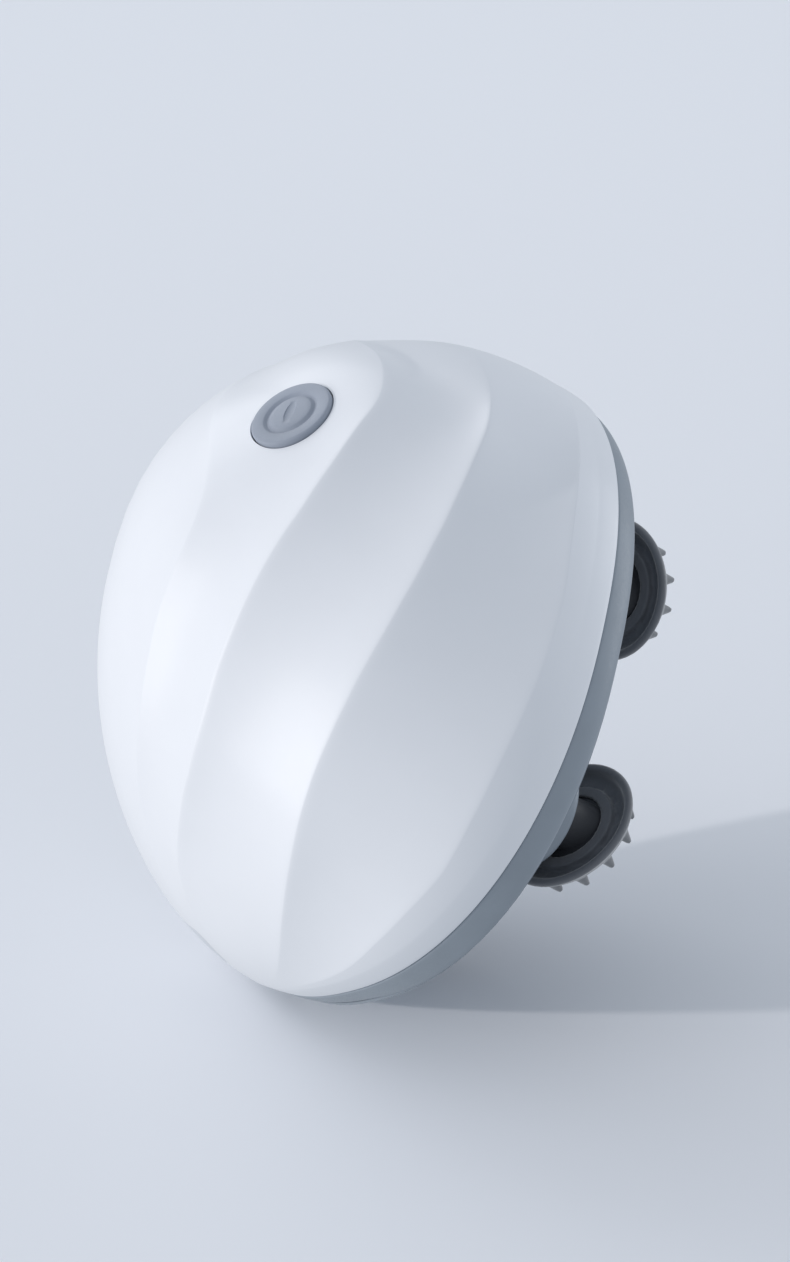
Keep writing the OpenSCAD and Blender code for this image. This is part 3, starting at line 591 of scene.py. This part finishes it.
    def flute_at(self, u: np.ndarray, t: np.ndarray) -> np.ndarray:
        """Depth of the flutes.

        Args:
            u: names of the lines, from 0 to 180.
            t: degrees along them.

        Returns:
            The depths, in millimetres.
        """
        lines = np.array(self.ridges, float)
        at = np.clip(np.searchsorted(lines, u, side="right") - 1, 0, len(self.depths) - 1)
        f = (u - lines[at]) / (lines[at + 1] - lines[at])
        low, low_run = (np.where(at == self.panel, *pair) for pair in zip(self.panel_low, self.fade_low))
        top, top_run = (np.where(at == self.panel, *pair) for pair in zip(self.panel_high, self.fade_high))
        ends = [np.clip((t + low) / low_run, 0.0, 1.0), np.clip((top - t) / top_run, 0.0, 1.0)]
        fade = np.prod([e * e * (3.0 - 2.0 * e) for e in ends], axis=0)
        soft = self.crest_round
        bowl = (np.hypot(4.0 * f * (1.0 - f), soft) - soft) / (math.hypot(1.0, soft) - soft)
        return np.array(self.depths, float)[at] * bowl * fade

    def skin(self, u: np.ndarray, t: np.ndarray, inset: float) -> np.ndarray:
        """Points of the fluted dome, drawn in by a distance.

        Args:
            u: names of the lines.
            t: degrees along them.
            inset: how far the points lie inside the outer skin, in millimetres.

        Returns:
            Rows of x, y and z.
        """
        s = np.radians(self.ridge_angle(u, t) + self.shift(u, t))
        a = np.radians(t)
        d = np.stack([np.cos(a) * np.cos(s), np.sin(a), np.cos(a) * np.sin(s)], -1)
        return self.dome_point(d) - (inset + self.flute_at(u, t))[..., None] * d

    def seam_loop(self, inset: float, count: int) -> np.ndarray:
        """The seam's outline drawn in by a distance.

        Args:
            inset: how far it is drawn in, in millimetres.
            count: how many points it has.

        Returns:
            Rows of x and y.
        """
        turn = np.linspace(0.0, 2.0 * math.pi, count, endpoint=False)
        p = self.rim_r * self.skirt_scale(0.0) * self.outline(turn)
        return p * (1.0 - inset / np.linalg.norm(p, axis=1))[:, None]


FORM = Form()


@dataclass
class DomeShell:
    """The white dome: a thin shell with flutes, a seat for the button and a mouth for the port plug."""

    form: Form = field(default_factory=lambda: FORM)
    wall: float = 2.4
    flute_steps: int = 20
    along_steps: int = 300
    pole_gap: float = 0.7
    skirt_rings: int = 7
    seam_round: float = 0.35
    block_margin: float = 2.0
    sharp_deg: float = 38.0
    column_ring: float = 40.0
    column_r: float = 3.4
    column_turns: tuple[float, ...] = (38, 113, 203, 293)
    column_bore: tuple[float, float] = (1.25, 12.0)
    column_edge: float = 0.2
    column_sink: float = 1.2

    def lines(self) -> np.ndarray:
        """The lines of the grid across the flutes, close together at the ridges.

        Returns:
            The names of the lines, from 0 to 180.
        """
        ridges = self.form.ridges
        share = (1.0 - np.cos(np.linspace(0.0, math.pi, self.flute_steps, endpoint=False))) / 2.0
        return np.concatenate([a + (b - a) * share for a, b in zip(ridges, ridges[1:])] + [[180.0]])

    def cap(self, inset: float) -> tuple[np.ndarray, list[tuple[int, ...]], list[int]]:
        """The domed part above the widest line.

        Args:
            inset: how far it lies inside the outer skin.

        Returns:
            Its points, its faces, and the loop of points along the widest line.
        """
        u = self.lines()
        t = np.linspace(self.pole_gap - 90.0, 90.0 - self.pole_gap, self.along_steps)
        grid = self.form.skin(np.tile(u, (len(t), 1)), np.tile(t[:, None], (1, len(u))), inset)
        ends = self.form.skin(np.zeros(2), np.array([-90.0, 90.0]), inset)
        rows, cols = len(t), len(u)
        points = np.concatenate([grid.reshape(-1, 3), ends])
        south, north = rows * cols, rows * cols + 1
        faces: list[tuple[int, ...]] = [
            (i * cols + j, i * cols + j + 1, (i + 1) * cols + j + 1, (i + 1) * cols + j)
            for i in range(rows - 1) for j in range(cols - 1)]
        faces += [(south, j + 1, j) for j in range(cols - 1)]
        top = (rows - 1) * cols
        faces += [(north, top + j, top + j + 1) for j in range(cols - 1)]
        right = [i * cols for i in range(rows)]
        left = [i * cols + cols - 1 for i in range(rows - 1, -1, -1)]
        return points, faces, [south, *right, north, *left]

    def drawn_in(self, ring: np.ndarray, inset: float, z: float) -> np.ndarray:
        """A ring below the widest line.

        Args:
            ring: the points of the widest line.
            inset: how far the ring is drawn in.
            z: its height above the seam.

        Returns:
            The ring's points.
        """
        flat = ring[:, :2] * self.form.skirt_scale(z)
        flat = flat * (1.0 - inset / np.linalg.norm(flat, axis=1))[:, None]
        return np.column_stack([flat, np.full(len(ring), z)])

    def outer_skirt(self) -> list[tuple[float, float]]:
        """Inset and height of the rings from the widest line down to the seam's edge."""
        r = self.seam_round
        straight = [(0.0, z) for z in np.linspace(self.form.belly_z, r, self.skirt_rings + 1)[1:]]
        return straight + [(r * (1.0 - math.cos(a)), r * (1.0 - math.sin(a)))
                           for a in np.radians([18, 36, 54, 72, 90])]

    def solid(self, name: str, hollow: bool = False, inset: float = 0.0) -> bpy.types.Object:
        """The dome as a closed skin, with or without its inside.

        Args:
            name: the object's name.
            hollow: whether it is a shell.
            inset: how far a whole dome is drawn in, in millimetres.

        Returns:
            The new object.
        """
        points, faces, widest = self.cap(inset)
        rings = [self.drawn_in(points[widest], inward, z) for inward, z in self.outer_skirt()]
        if hollow:
            rings.append(self.drawn_in(points[widest], self.wall, 0.0))
        count, size = len(widest), len(points)
        loops = [widest] + [range(size + i * count, size + (i + 1) * count) for i in range(len(rings))]
        faces += Mesher.skin(loops)
        parts = [points, *rings]
        if hollow:
            inner, inner_faces, top = self.cap(self.wall)
            size += len(rings) * count
            parts.append(inner)
            faces += [tuple(size + k for k in face) for face in inner_faces]
            faces += Mesher.skin([loops[-1], [size + k for k in top]])
        else:
            faces.append(tuple(loops[-1]))
        return Mesher.outward(Mesher.new(name, self.form.lift(np.concatenate(parts)), faces))

    def build(self, button: "PowerButton", plug: "PortPlug") -> bpy.types.Object:
        """Makes the shell with its seat and mouth.

        Args:
            button: the button that sits in it.
            plug: the plug that closes its port.

        Returns:
            The shell, in place on its body.
        """
        shell = self.solid("dome_shell", hollow=True)
        Mesher.combine(shell, button.seat_cutter(), "DIFFERENCE")
        margin = self.block_margin
        backing = plug.bar("port_backing", plug.width + margin, plug.tall + margin, plug.back())
        Mesher.combine(backing, self.solid("backing_trim", inset=self.wall / 2), "INTERSECT")
        Mesher.combine(shell, backing, "UNION")
        Mesher.combine(shell, plug.mouth_cutter(self), "DIFFERENCE")
        Mesher.dress(shell, "shell_white", self.sharp_deg)
        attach(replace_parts(shell, "top_shell"), "housing")
        return shell

    def columns(self) -> bpy.types.Object:
        """Makes the four screw columns under the dome.

        Returns:
            The columns, as one piece.
        """
        made = None
        r, edge = self.column_r, self.column_edge
        bore_r, bore_h = self.column_bore
        for turn in self.column_turns:
            a = math.radians(turn)
            x, y = self.column_ring * math.cos(a), self.column_ring * math.sin(a)
            height = self.roof(x, y) - self.column_sink
            place = Matrix.Translation((x, y, self.form.rim_z))
            bore = [(0, bore_h), (bore_r, bore_h), (bore_r, 0)]
            profile = bore + [(r - edge, 0), (r, edge), (r, height), (0, height)]
            one = Mesher.lathe(f"shell_column_{turn}", profile, place, 40)
            made = one if made is None else Mesher.combine(made, one, "UNION")
        made.name = "shell_columns"
        Mesher.dress(made, "shell_white", 35.0)
        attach(made, "housing")
        return made

    def roof(self, x: float, y: float) -> float:
        """Height of the shell's inner skin over a point.

        Args:
            x: place in plan.
            y: place in plan.

        Returns:
            The height above the seam, in millimetres.
        """
        u, t = np.meshgrid(np.arange(1.0, 180.0), np.arange(-88.0, 89.0))
        skin = self.form.skin(u, t, self.wall).reshape(-1, 3)
        near = np.argmin(np.hypot(skin[:, 0] - x, skin[:, 1] - y))
        return float(skin[near, 2])


@dataclass
class PowerButton:
    """The soft round button: a flat collar, a groove and a small disc with an oval dimple.

    Its spot and normal are those of the seat in the CAD model. Edges and grooves are points of a profile: how
    far out they lie, and how high. In the groove and on the crown, the distance is a share of the radius.
    """

    spot: Point = (15.414, 28.992, 70.515)
    normal: Point = (0.28972, 0.44329, 0.84827)
    radius: float = 6.5
    proud: float = 0.35
    gap: float = 0.2
    seat_depth: float = 2.2
    seat_play: float = 0.1
    seat_edge: Table = ((0, -0.35), (0.08, -0.15), (0.3, 0.1), (0.9, 0.45), (0.9, 8))
    hollow_depth: float = 9.0
    flange_out: float = 1.5
    flange_t: float = 0.8
    stem_r: float = 1.6
    stem_low: float = -5.2
    stem_h: float = 2.3
    edge_round: float = 0.45
    groove: Table = ((0.70, 0), (0.67, -0.08), (0.635, -0.36), (0.60, -0.44), (0.565, -0.36), (0.53, -0.04),
                     (0.50, 0.05))
    crown: Table = ((0.40, 0.13), (0.2, 0.18), (0, 0.2))
    mark: Point = (1.7, 4.4, 0.28)
    mark_turn: float = -26.0

    def place(self) -> Matrix:
        """From the button's own frame to the CAD frame, in millimetres."""
        x, y, z = self.normal
        turned = Matrix.Rotation(math.atan2(y, x), 4, "Z") @ Matrix.Rotation(math.acos(z), 4, "Y")
        return Matrix.Translation(self.spot) @ turned

    def seat_cutter(self) -> bpy.types.Object:
        """The form of the hole that the button sits in, with a softened edge."""
        r, low = self.radius + self.gap, -self.seat_depth
        flange, bottom = r + self.flange_out, low - self.hollow_depth
        edge = [(r + out, z) for out, z in self.seat_edge]
        profile = [(0, bottom), (flange, bottom), (flange, low), (r, low), *edge, (0, edge[-1][1])]
        return Mesher.lathe("seat_cutter", profile, self.place())

    def cap_profile(self) -> Profile:
        """Radius and height of the cap's points, from the foot of the stem up to the crown."""
        r, top, seat = self.radius, self.proud, -self.seat_depth - self.seat_play
        stem, flange = self.stem_low + self.stem_h, r + self.flange_out
        foot = [(0, self.stem_low), (self.stem_r, self.stem_low), (self.stem_r, stem)]
        edge = [(r - self.edge_round * (1 - math.sin(a)), top - self.edge_round * (1 - math.cos(a)))
                for a in np.radians([90, 68, 45, 22, 0])]
        face = [(r * share, top + z) for share, z in self.groove + self.crown]
        return foot + [(flange, seat - self.flange_t), (flange, seat), (r, seat)] + edge + face

    def build(self) -> bpy.types.Object:
        """Makes the button.

        Returns:
            The button, in place on its body.
        """
        cap = Mesher.lathe("button_cap", self.cap_profile(), self.place(), 128)
        wide, tall, deep = self.mark
        centre = Matrix.Translation((0.0, 0.0, self.proud + self.crown[-1][1]))
        turned = centre @ Matrix.Rotation(math.radians(self.mark_turn), 4, "Z")
        ball = [(math.cos(a), math.sin(a)) for a in np.radians(np.linspace(-90, 90, 25))]
        sized = Matrix.Diagonal((wide / 2, tall / 2, deep, 1.0))
        mark = Mesher.lathe("oval_mark", ball, self.place() @ turned @ sized, 48)
        Mesher.combine(cap, mark, "DIFFERENCE")
        Mesher.dress(cap, "button_rubber", 50.0)
        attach(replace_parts(cap, "power_button"), "button")
        return cap


@dataclass
class PortPlug:
    """The soft plug over the charging socket, flush with the dome.

    The points of the bulb, at the inner end of its stalk, are radius and distance from that end.
    """

    form: Form = field(default_factory=lambda: FORM)
    turn: float = 256.0
    height: float = 12.5
    width: float = 14.0
    tall: float = 7.6
    thick: float = 1.7
    gap: float = 0.1
    corner_share: float = 0.3
    tongue: tuple[float, float] = (9.4, 3.6)
    backing: float = 1.2
    stalk_y: float = 6.1
    stalk_r: float = 0.8
    bulb: Table = ((0.9, 0), (1.3, 0.45), (1.3, 1.2), (0.8, 1.5))
    bulb_behind: float = 1.7
    pull: float = 6.0
    edge_round: float = 0.25
    floor_play: float = 0.1
    hole_depth: float = 2.0
    hole_end: float = 55.0
    bar_end: float = 60.0

    def reach(self, aside: float, height: float) -> float:
        """Distance of the outer skin along the port's axis.

        Args:
            aside: how far to the side of the axis, in millimetres.
            height: height above the seam, in millimetres.

        Returns:
            The distance from the middle, in millimetres.
        """
        form = self.form
        aside_turn = math.atan(aside / form.rim_r)
        a = math.radians(self.turn) + aside_turn
        up = math.asin(((height - form.belly_z) / (form.dome_h - form.belly_z)) ** (form.height_power / 2))
        radius = form.rim_r * math.cos(up) ** (2 / form.girth_power)
        out = float(np.linalg.norm(form.outline(np.array([a]))[0])) * radius
        lean = form.crown_shift * (height / form.dome_h) ** form.lean_power * math.sin(a)
        return (out + lean) * math.cos(aside_turn)

    def back(self) -> float:
        """Distance of the flat back of the pocket's block from the middle."""
        brow = min(self.reach(side * self.width / 2, self.height + self.tall / 2) for side in (-1, 1))
        return brow - self.thick - self.backing

    def place(self) -> Matrix:
        """From a frame whose z runs out of the port to the CAD frame, in millimetres."""
        lifted = Matrix.Translation((0.0, 0.0, self.form.rim_z + self.height))
        upright = Matrix(((0, 0, 1, 0), (1, 0, 0, 0), (0, 1, 0, 0), (0, 0, 0, 1)))
        return lifted @ Matrix.Rotation(math.radians(self.turn), 4, "Z") @ upright

    def bar(self, name: str, wide: float, tall: float, start: float) -> bpy.types.Object:
        """A rounded bar along the port's axis, that runs out past the skin.

        Args:
            name: the object's name.
            wide: its width, in millimetres.
            tall: its height, in millimetres.
            start: distance of its inner end from the middle, in millimetres.

        Returns:
            The new object.
        """
        outline = round_rectangle(wide, tall, min(wide, tall) * self.corner_share)
        return Mesher.bar(name, outline, start, self.bar_end, self.place())

    def stalk_axis(self) -> Matrix:
        """From a frame whose z runs along the stalk to the CAD frame, in millimetres."""
        return self.place() @ Matrix.Translation((self.stalk_y, 0.0, 0.0))

    def mouth_cutter(self, dome: DomeShell) -> bpy.types.Object:
        """The form of the pocket, whose floor follows the skin, and of the holes behind it.

        Args:
            dome: the dome that the pocket is cut in.

        Returns:
            The cutter.
        """
        back, play = self.back(), 2 * self.gap
        start, end = back - self.hole_depth, self.hole_end
        cutter = self.bar("mouth_cutter", self.width + play, self.tall + play, back + self.floor_play)
        Mesher.combine(cutter, dome.solid("pocket_floor", inset=self.thick + self.gap / 2), "DIFFERENCE")
        hole = self.bar("mouth_hole", self.tongue[0] + play, self.tongue[1] + play, start)
        Mesher.combine(cutter, hole, "UNION")
        r = self.stalk_r + self.gap
        slot = Mesher.lathe("stalk_hole", [(0, start), (r, start), (r, end), (0, end)], self.stalk_axis(), 32)
        return Mesher.combine(cutter, slot, "UNION")

    def stalk(self) -> bpy.types.Object:
        """The stalk with its bulb, which keeps the pulled plug on the dome."""
        low = self.back() - self.pull - self.bulb_behind
        end = self.reach(self.stalk_y, self.height) - self.thick / 2
        bulb = [(r, low + out) for r, out in self.bulb]
        return Mesher.lathe("stalk", [(0, low), *bulb, (self.stalk_r, end), (0, end)], self.stalk_axis(), 32)

    def build(self, dome: DomeShell) -> bpy.types.Object:
        """Makes the plug, trimmed to the dome's own skin.

        Args:
            dome: the dome that it lies flush with.

        Returns:
            The plug, in place on its body.
        """
        plug = self.bar("port_cover", self.width, self.tall, self.back())
        Mesher.combine(plug, dome.solid("plug_trim"), "INTERSECT")
        Mesher.combine(plug, dome.solid("plug_inside", inset=self.thick), "DIFFERENCE")
        tongue = self.bar("tongue", *self.tongue, self.back())
        Mesher.combine(tongue, dome.solid("tongue_trim", inset=self.thick / 2), "INTERSECT")
        Mesher.combine(plug, tongue, "UNION")
        Mesher.combine(plug, self.stalk(), "UNION")
        soften = plug.modifiers.new("soften", "BEVEL")
        soften.width = self.edge_round * MM
        soften.segments = 3
        soften.limit_method = "ANGLE"
        soften.angle_limit = math.radians(50)
        Mesher.baked(plug)
        Mesher.dress(plug, "port_rubber")
        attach(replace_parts(plug, "charge_plug"), "port_plug")
        return plug


@dataclass
class GreyBand:
    """The grey band under the seam: a soft shoulder outside and a lip that reaches up into the dome.

    It leans towards -Y as it goes down, but not at its end on that side, where the object stands on the
    floor.
    """

    form: Form = field(default_factory=lambda: FORM)
    height: float = 4.5
    draft: float = 1.2
    lean: float = 1.8
    first_inset: float = 0.25
    top_edge: Table = ((0.5, 0.0), (0.18, -0.06), (0.04, -0.2))
    shoulder_steps: int = 22
    foot_step: float = 0.12
    lip_outer: float = 2.71
    lip_inner: float = 4.31
    lip_h: float = 3.0
    count: int = 288

    def profile(self) -> list[Point]:
        """Inset, height and lean of each ring, from the seam down the outside and back up the inside."""
        edge, low, inner, outer = self.first_inset, -self.height, self.lip_inner, self.lip_outer
        start = [(edge + inset, z, 0.0) for inset, z in self.top_edge]
        drawn = [(math.sin(a), 1 - math.cos(a)) for a in np.radians(np.linspace(4, 88, self.shoulder_steps))]
        shoulder = [(self.draft * share + edge, low * down, self.lean * share) for down, share in drawn]
        foot = [(self.draft + edge + self.foot_step, low, self.lean), (inner, low, 0.0)]
        lip = [(inner, self.lip_h, 0.0), (outer, self.lip_h, 0.0), (outer, 0.0, 0.0)]
        return start + shoulder + foot + lip

    def build(self) -> bpy.types.Object:
        """Makes the band.

        Returns:
            The band, in place on its body.
        """
        n, rows = self.count, self.profile()
        turn = np.linspace(0.0, 2.0 * math.pi, n, endpoint=False)
        share = 1.0 - np.maximum(0.0, -np.sin(turn)) ** 3
        rings = []
        for inset, z, lean in rows:
            flat = self.form.seam_loop(inset, n) - np.outer(share * lean, (0.0, 1.0))
            rings.append(np.column_stack([flat, np.full(n, z)]))
        loops = [range(i * n, (i + 1) * n) for i in range(len(rows))]
        points = self.form.lift(np.concatenate(rings))
        band = Mesher.outward(Mesher.new("grey_band", points, Mesher.skin(loops + loops[:1])))
        Mesher.dress(band, "base_grey")
        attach(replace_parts(band, "base_ring"), "housing")
        return band


@dataclass
class SoftHead:
    """A silicone kneading head: the CAD solid, remeshed finely so that its fingers grow out of it softly."""

    number: int
    ring: float = 28.0
    turn: float = -22.0
    voxel_mm: float = 0.24
    relax_share: float = 0.5
    relax_rounds: int = 3

    def build(self, first: bpy.types.Object | None) -> bpy.types.Object:
        """Makes the head.

        Args:
            first: head 1, which the others are turned copies of, or None for head 1 itself.

        Returns:
            The head, in place on its body.
        """
        source = first or frame["nodes"]["head_pad_1"]
        head = bpy.data.objects.new(f"kneading_head_{self.number}", source.data.copy())
        bpy.context.scene.collection.objects.link(head)
        if first is None:
            self.soften(head)
        else:
            head.data.transform(self.turned())
        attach(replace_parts(head, f"head_pad_{self.number}"), f"head_{self.number}")
        return head

    def turned(self) -> Matrix:
        """From head 1 to this head: every second one also leans the other way round its shaft."""
        a = math.radians(self.turn)
        shaft = Matrix.Translation((self.ring * MM * math.cos(a), self.ring * MM * math.sin(a), 0.0))
        half = Matrix.Rotation(math.pi * ((self.number - 1) % 2), 4, "Z")
        return Matrix.Rotation(math.pi / 2 * (self.number - 1), 4, "Z") @ shaft @ half @ shaft.inverted()

    def soften(self, head: bpy.types.Object) -> None:
        """Remeshes the solid and relaxes the skin.

        Args:
            head: the copy of the CAD solid.
        """
        remesh = head.modifiers.new("remesh", "REMESH")
        remesh.mode = "VOXEL"
        remesh.voxel_size = self.voxel_mm * MM
        relax = head.modifiers.new("relax", "SMOOTH")
        relax.factor = self.relax_share
        relax.iterations = self.relax_rounds
        Mesher.baked(head)
        Mesher.dress(head, "head_silicone", 80.0)


@dataclass
class Works:
    """The CAD pieces that are shown as they are, each dressed in the finish of its slot."""

    replaced: tuple[str, ...] = (
        "top_shell", "base_ring", "power_button", "charge_plug",
        "head_pad_1", "head_pad_2", "head_pad_3", "head_pad_4")

    def dress(self) -> int:
        """Gives every remaining CAD node its material.

        Returns:
            How many were dressed.
        """
        kept = [part for part in frame["record"]["subparts"] if part["node"] not in self.replaced]
        for part in kept:
            finish = FINISHES[part["material_slot"]]
            for place in frame["nodes"][part["node"]].material_slots:
                place.material = finish.material()
        return len(kept)


@dataclass(frozen=True)
class Lamp:
    """A soft lamp that looks at LAMP_AIM, a point in the object.

    Attributes:
        name: the lamp's name.
        toward: the way from the object to it, along the camera's right, up and back.
        distance: how far away it is, in metres.
        size: width and height, in metres.
        power: watts.
        colour: its colour.
    """

    name: str
    toward: Point
    distance: float
    size: tuple[float, float]
    power: float
    colour: Point

    def light(self, basis: Sequence[Vector]) -> None:
        """Places the lamp.

        Args:
            basis: the camera's right, up and back.
        """
        light = bpy.data.lights.new(self.name, "AREA")
        light.shape = "RECTANGLE"
        light.size, light.size_y = self.size
        light.energy = self.power
        light.color = self.colour
        lamp = bpy.data.objects.new(self.name, light)
        toward = sum((way * share for way, share in zip(basis, self.toward)), Vector())
        spot = Vector(LAMP_AIM) + toward.normalized() * self.distance
        lamp.matrix_world = Matrix.Translation(spot) @ toward.to_track_quat("Z", "Y").to_matrix().to_4x4()
        bpy.context.scene.collection.objects.link(lamp)


LAMP_AIM = (0.0, 0.0, 0.045)
LAMPS = (
    Lamp("soft_left", (-0.96, -0.12, 0.14), 2.0, (1.1, 1.4), 13.5, (1.0, 0.97, 0.95)),
    Lamp("top_left", (-0.45, 0.8, -0.4), 2.2, (1.4, 1.4), 7.5, (0.97, 0.98, 1.0)),
    Lamp("rim", (0.88, 0.3, -0.2), 2.0, (1.2, 1.2), 9.0, (0.95, 0.97, 1.0)))


@dataclass
class Studio:
    """Camera, floor, lamps and the pale background, set from the photograph's point of view.

    Its eye is in millimetres, the sun's angles are in degrees, and the floor's radius and fade are in metres.
    """

    eye: Point = (540.6, -31.6, 286.0)
    gaze: Point = (-0.905, 0.065, -0.421)
    upright: Point = (-0.106, 0.923, 0.37)
    focal_px: float = 3889.8
    frame_px: float = 1262.0
    sensor_mm: float = 36.0
    clip: tuple[float, float] = (0.01, 20.0)
    floor_rise: float = 19.5
    floor_offset: float = -47.07
    floor_r: float = 2.6
    floor_fade: tuple[float, float] = (0.25, 1.6)
    floor_tint: Point = (0.84, 0.86, 0.90)
    sun_rise: float = 11.0
    sun_aside: float = 19.0
    sun_lean: float = 15.0
    sun_spread: float = 2.0
    sun_power: float = 0.9
    sun_colour: Point = (1.0, 0.96, 0.94)
    backdrop: Point = (0.651, 0.701, 0.783)
    glow: Point = (0.845, 0.91, 1.0)
    glow_strength: float = 0.62

    def basis(self) -> tuple[Vector, Vector, Vector]:
        """Right, up and back of the camera."""
        back = -Vector(self.gaze).normalized()
        right = Vector(self.upright).cross(back).normalized()
        return right, back.cross(right).normalized(), back

    def floor_normal(self) -> Vector:
        """The way the floor faces, for a camera that looks down on it."""
        _, up, back = self.basis()
        a = math.radians(self.floor_rise)
        return (up * math.cos(a) + back * math.sin(a)).normalized()

    def sun_level(self) -> Vector:
        """Level direction along the floor from the object to the sun."""
        right, _, back = self.basis()
        normal = self.floor_normal()
        nearer = (back - normal * back.dot(normal)).normalized()
        aside = math.radians(self.sun_aside)
        return -right * math.cos(aside) + nearer * math.sin(aside)

    def sunward(self, rise_deg: float) -> Vector:
        """The way to the sun, if it stood at some angle over the floor.

        Args:
            rise_deg: the angle from the floor up.

        Returns:
            The direction.
        """
        rise = math.radians(rise_deg)
        return self.sun_level() * math.cos(rise) + self.floor_normal() * math.sin(rise)

    def camera(self) -> None:
        """Sets the camera up at the photograph's viewing angle."""
        lens = bpy.data.cameras.new("view")
        lens.sensor_width = self.sensor_mm
        lens.lens = self.focal_px / self.frame_px * self.sensor_mm
        lens.clip_start, lens.clip_end = self.clip
        camera = bpy.data.objects.new("view", lens)
        turned = Matrix(self.basis()).transposed().to_4x4()
        camera.matrix_world = Matrix.Translation(Vector(self.eye) * MM) @ turned
        bpy.context.scene.collection.objects.link(camera)
        bpy.context.scene.camera = camera

    def floor(self) -> None:
        """Lays the pale floor under the standing edge of the dome."""
        normal = self.floor_normal()
        bpy.ops.mesh.primitive_circle_add(vertices=96, radius=self.floor_r, fill_type="NGON")
        floor = bpy.context.object
        floor.name = "pale_floor"
        seat = Vector((0.0, 0.0, FORM.rim_z * MM)) + normal * (self.floor_offset * MM)
        floor.matrix_world = Matrix.Translation(seat) @ normal.to_track_quat("Z", "Y").to_matrix().to_4x4()
        floor.data.materials.append(self.floor_material())
        floor.visible_diffuse = False
        floor.visible_glossy = False
        floor.visible_shadow = False
        floor.visible_transmission = False

    def floor_material(self) -> bpy.types.Material:
        """Matt floor, shaded as if it leaned towards the sun, clear from behind and fading out far away.

        Returns:
            The material.
        """
        material = bpy.data.materials.new("pale_floor")
        material.use_nodes = True
        nodes = Nodes(material.node_tree)
        nodes.tree.nodes.clear()
        shading = nodes.add("CombineXYZ", dict(enumerate(self.sunward(90.0 - self.sun_lean))))
        tint = (*self.floor_tint, 1.0)
        matt = nodes.add("BsdfDiffuse", {"Color": tint, "Normal": shading.outputs["Vector"]})
        clear = nodes.add("BsdfTransparent", {})
        away = nodes.add("VectorMath", {0: nodes.add("TexCoord", {}).outputs["Object"]})
        away.operation = "LENGTH"
        faded = nodes.add("MapRange", {
            "Value": away.outputs["Value"], "To Min": 0.0, "To Max": 1.0,
            "From Min": self.floor_fade[0], "From Max": self.floor_fade[1]})
        faded.interpolation_type = "SMOOTHSTEP"
        side = nodes.add("NewGeometry", {})
        hidden = nodes.add("Math", {0: side.outputs["Backfacing"], 1: faded.outputs["Result"]})
        hidden.operation = "MAXIMUM"
        mix = nodes.add("MixShader", {
            "Fac": hidden.outputs["Value"], 1: matt.outputs["BSDF"], 2: clear.outputs["BSDF"]})
        nodes.add("OutputMaterial", {"Surface": mix.outputs["Shader"]})
        return material

    def world(self) -> None:
        """Even pale light from all round, and the background's colour for the camera."""
        world = bpy.data.worlds.new("studio")
        bpy.context.scene.world = world
        world.use_nodes = True
        nodes = Nodes(world.node_tree)
        nodes.tree.nodes.clear()
        path = nodes.add("LightPath", {})
        seen = nodes.add("Math", {0: path.outputs["Is Camera Ray"], 1: path.outputs["Is Transmission Ray"]})
        seen.operation = "MAXIMUM"
        around = nodes.add("Background", {"Color": (*self.glow, 1.0), "Strength": self.glow_strength})
        shown = nodes.add("Background", {"Color": (*self.backdrop, 1.0), "Strength": 1.0})
        mix = nodes.add("MixShader", {
            "Fac": seen.outputs["Value"], 1: around.outputs["Background"], 2: shown.outputs["Background"]})
        nodes.add("OutputWorld", {"Surface": mix.outputs["Shader"]})

    def sun(self) -> None:
        """Places the hard light that casts the long shadow on the floor."""
        light = bpy.data.lights.new("window", "SUN")
        light.energy = self.sun_power
        light.angle = math.radians(self.sun_spread)
        light.color = self.sun_colour
        lamp = bpy.data.objects.new("window", light)
        lamp.matrix_world = self.sunward(self.sun_rise).to_track_quat("Z", "Y").to_matrix().to_4x4()
        lamp.visible_glossy = False
        bpy.context.scene.collection.objects.link(lamp)

    def build(self) -> None:
        """Sets the whole studio up: the light comes from low on the left, with weak fills all round."""
        self.camera()
        self.floor()
        self.world()
        self.sun()
        for lamp in LAMPS:
            lamp.light(self.basis())
        bpy.context.scene.view_settings.view_transform = "Standard"


def report(what: str, piece: bpy.types.Object) -> None:
    """Logs a finished piece.

    Args:
        what: what it is.
        piece: its object.
    """
    LOG.info("%s: %s, %d faces", what, piece.name, len(piece.data.polygons))


def main() -> None:
    """Builds the studio and every piece."""
    logging.basicConfig(level=logging.INFO, format="%(message)s")
    Studio().build()
    dome, button, plug = DomeShell(), PowerButton(), PortPlug()
    report("dome", dome.build(button, plug))
    report("screw columns", dome.columns())
    report("button", button.build())
    report("port plug", plug.build(dome))
    report("base band", GreyBand().build())
    first = None
    for number in range(1, 5):
        head = SoftHead(number).build(first)
        first = first or head
        report("kneading head", head)
    LOG.info("%d CAD pieces dressed", Works().dress())


if __name__ == "__main__":
    main()
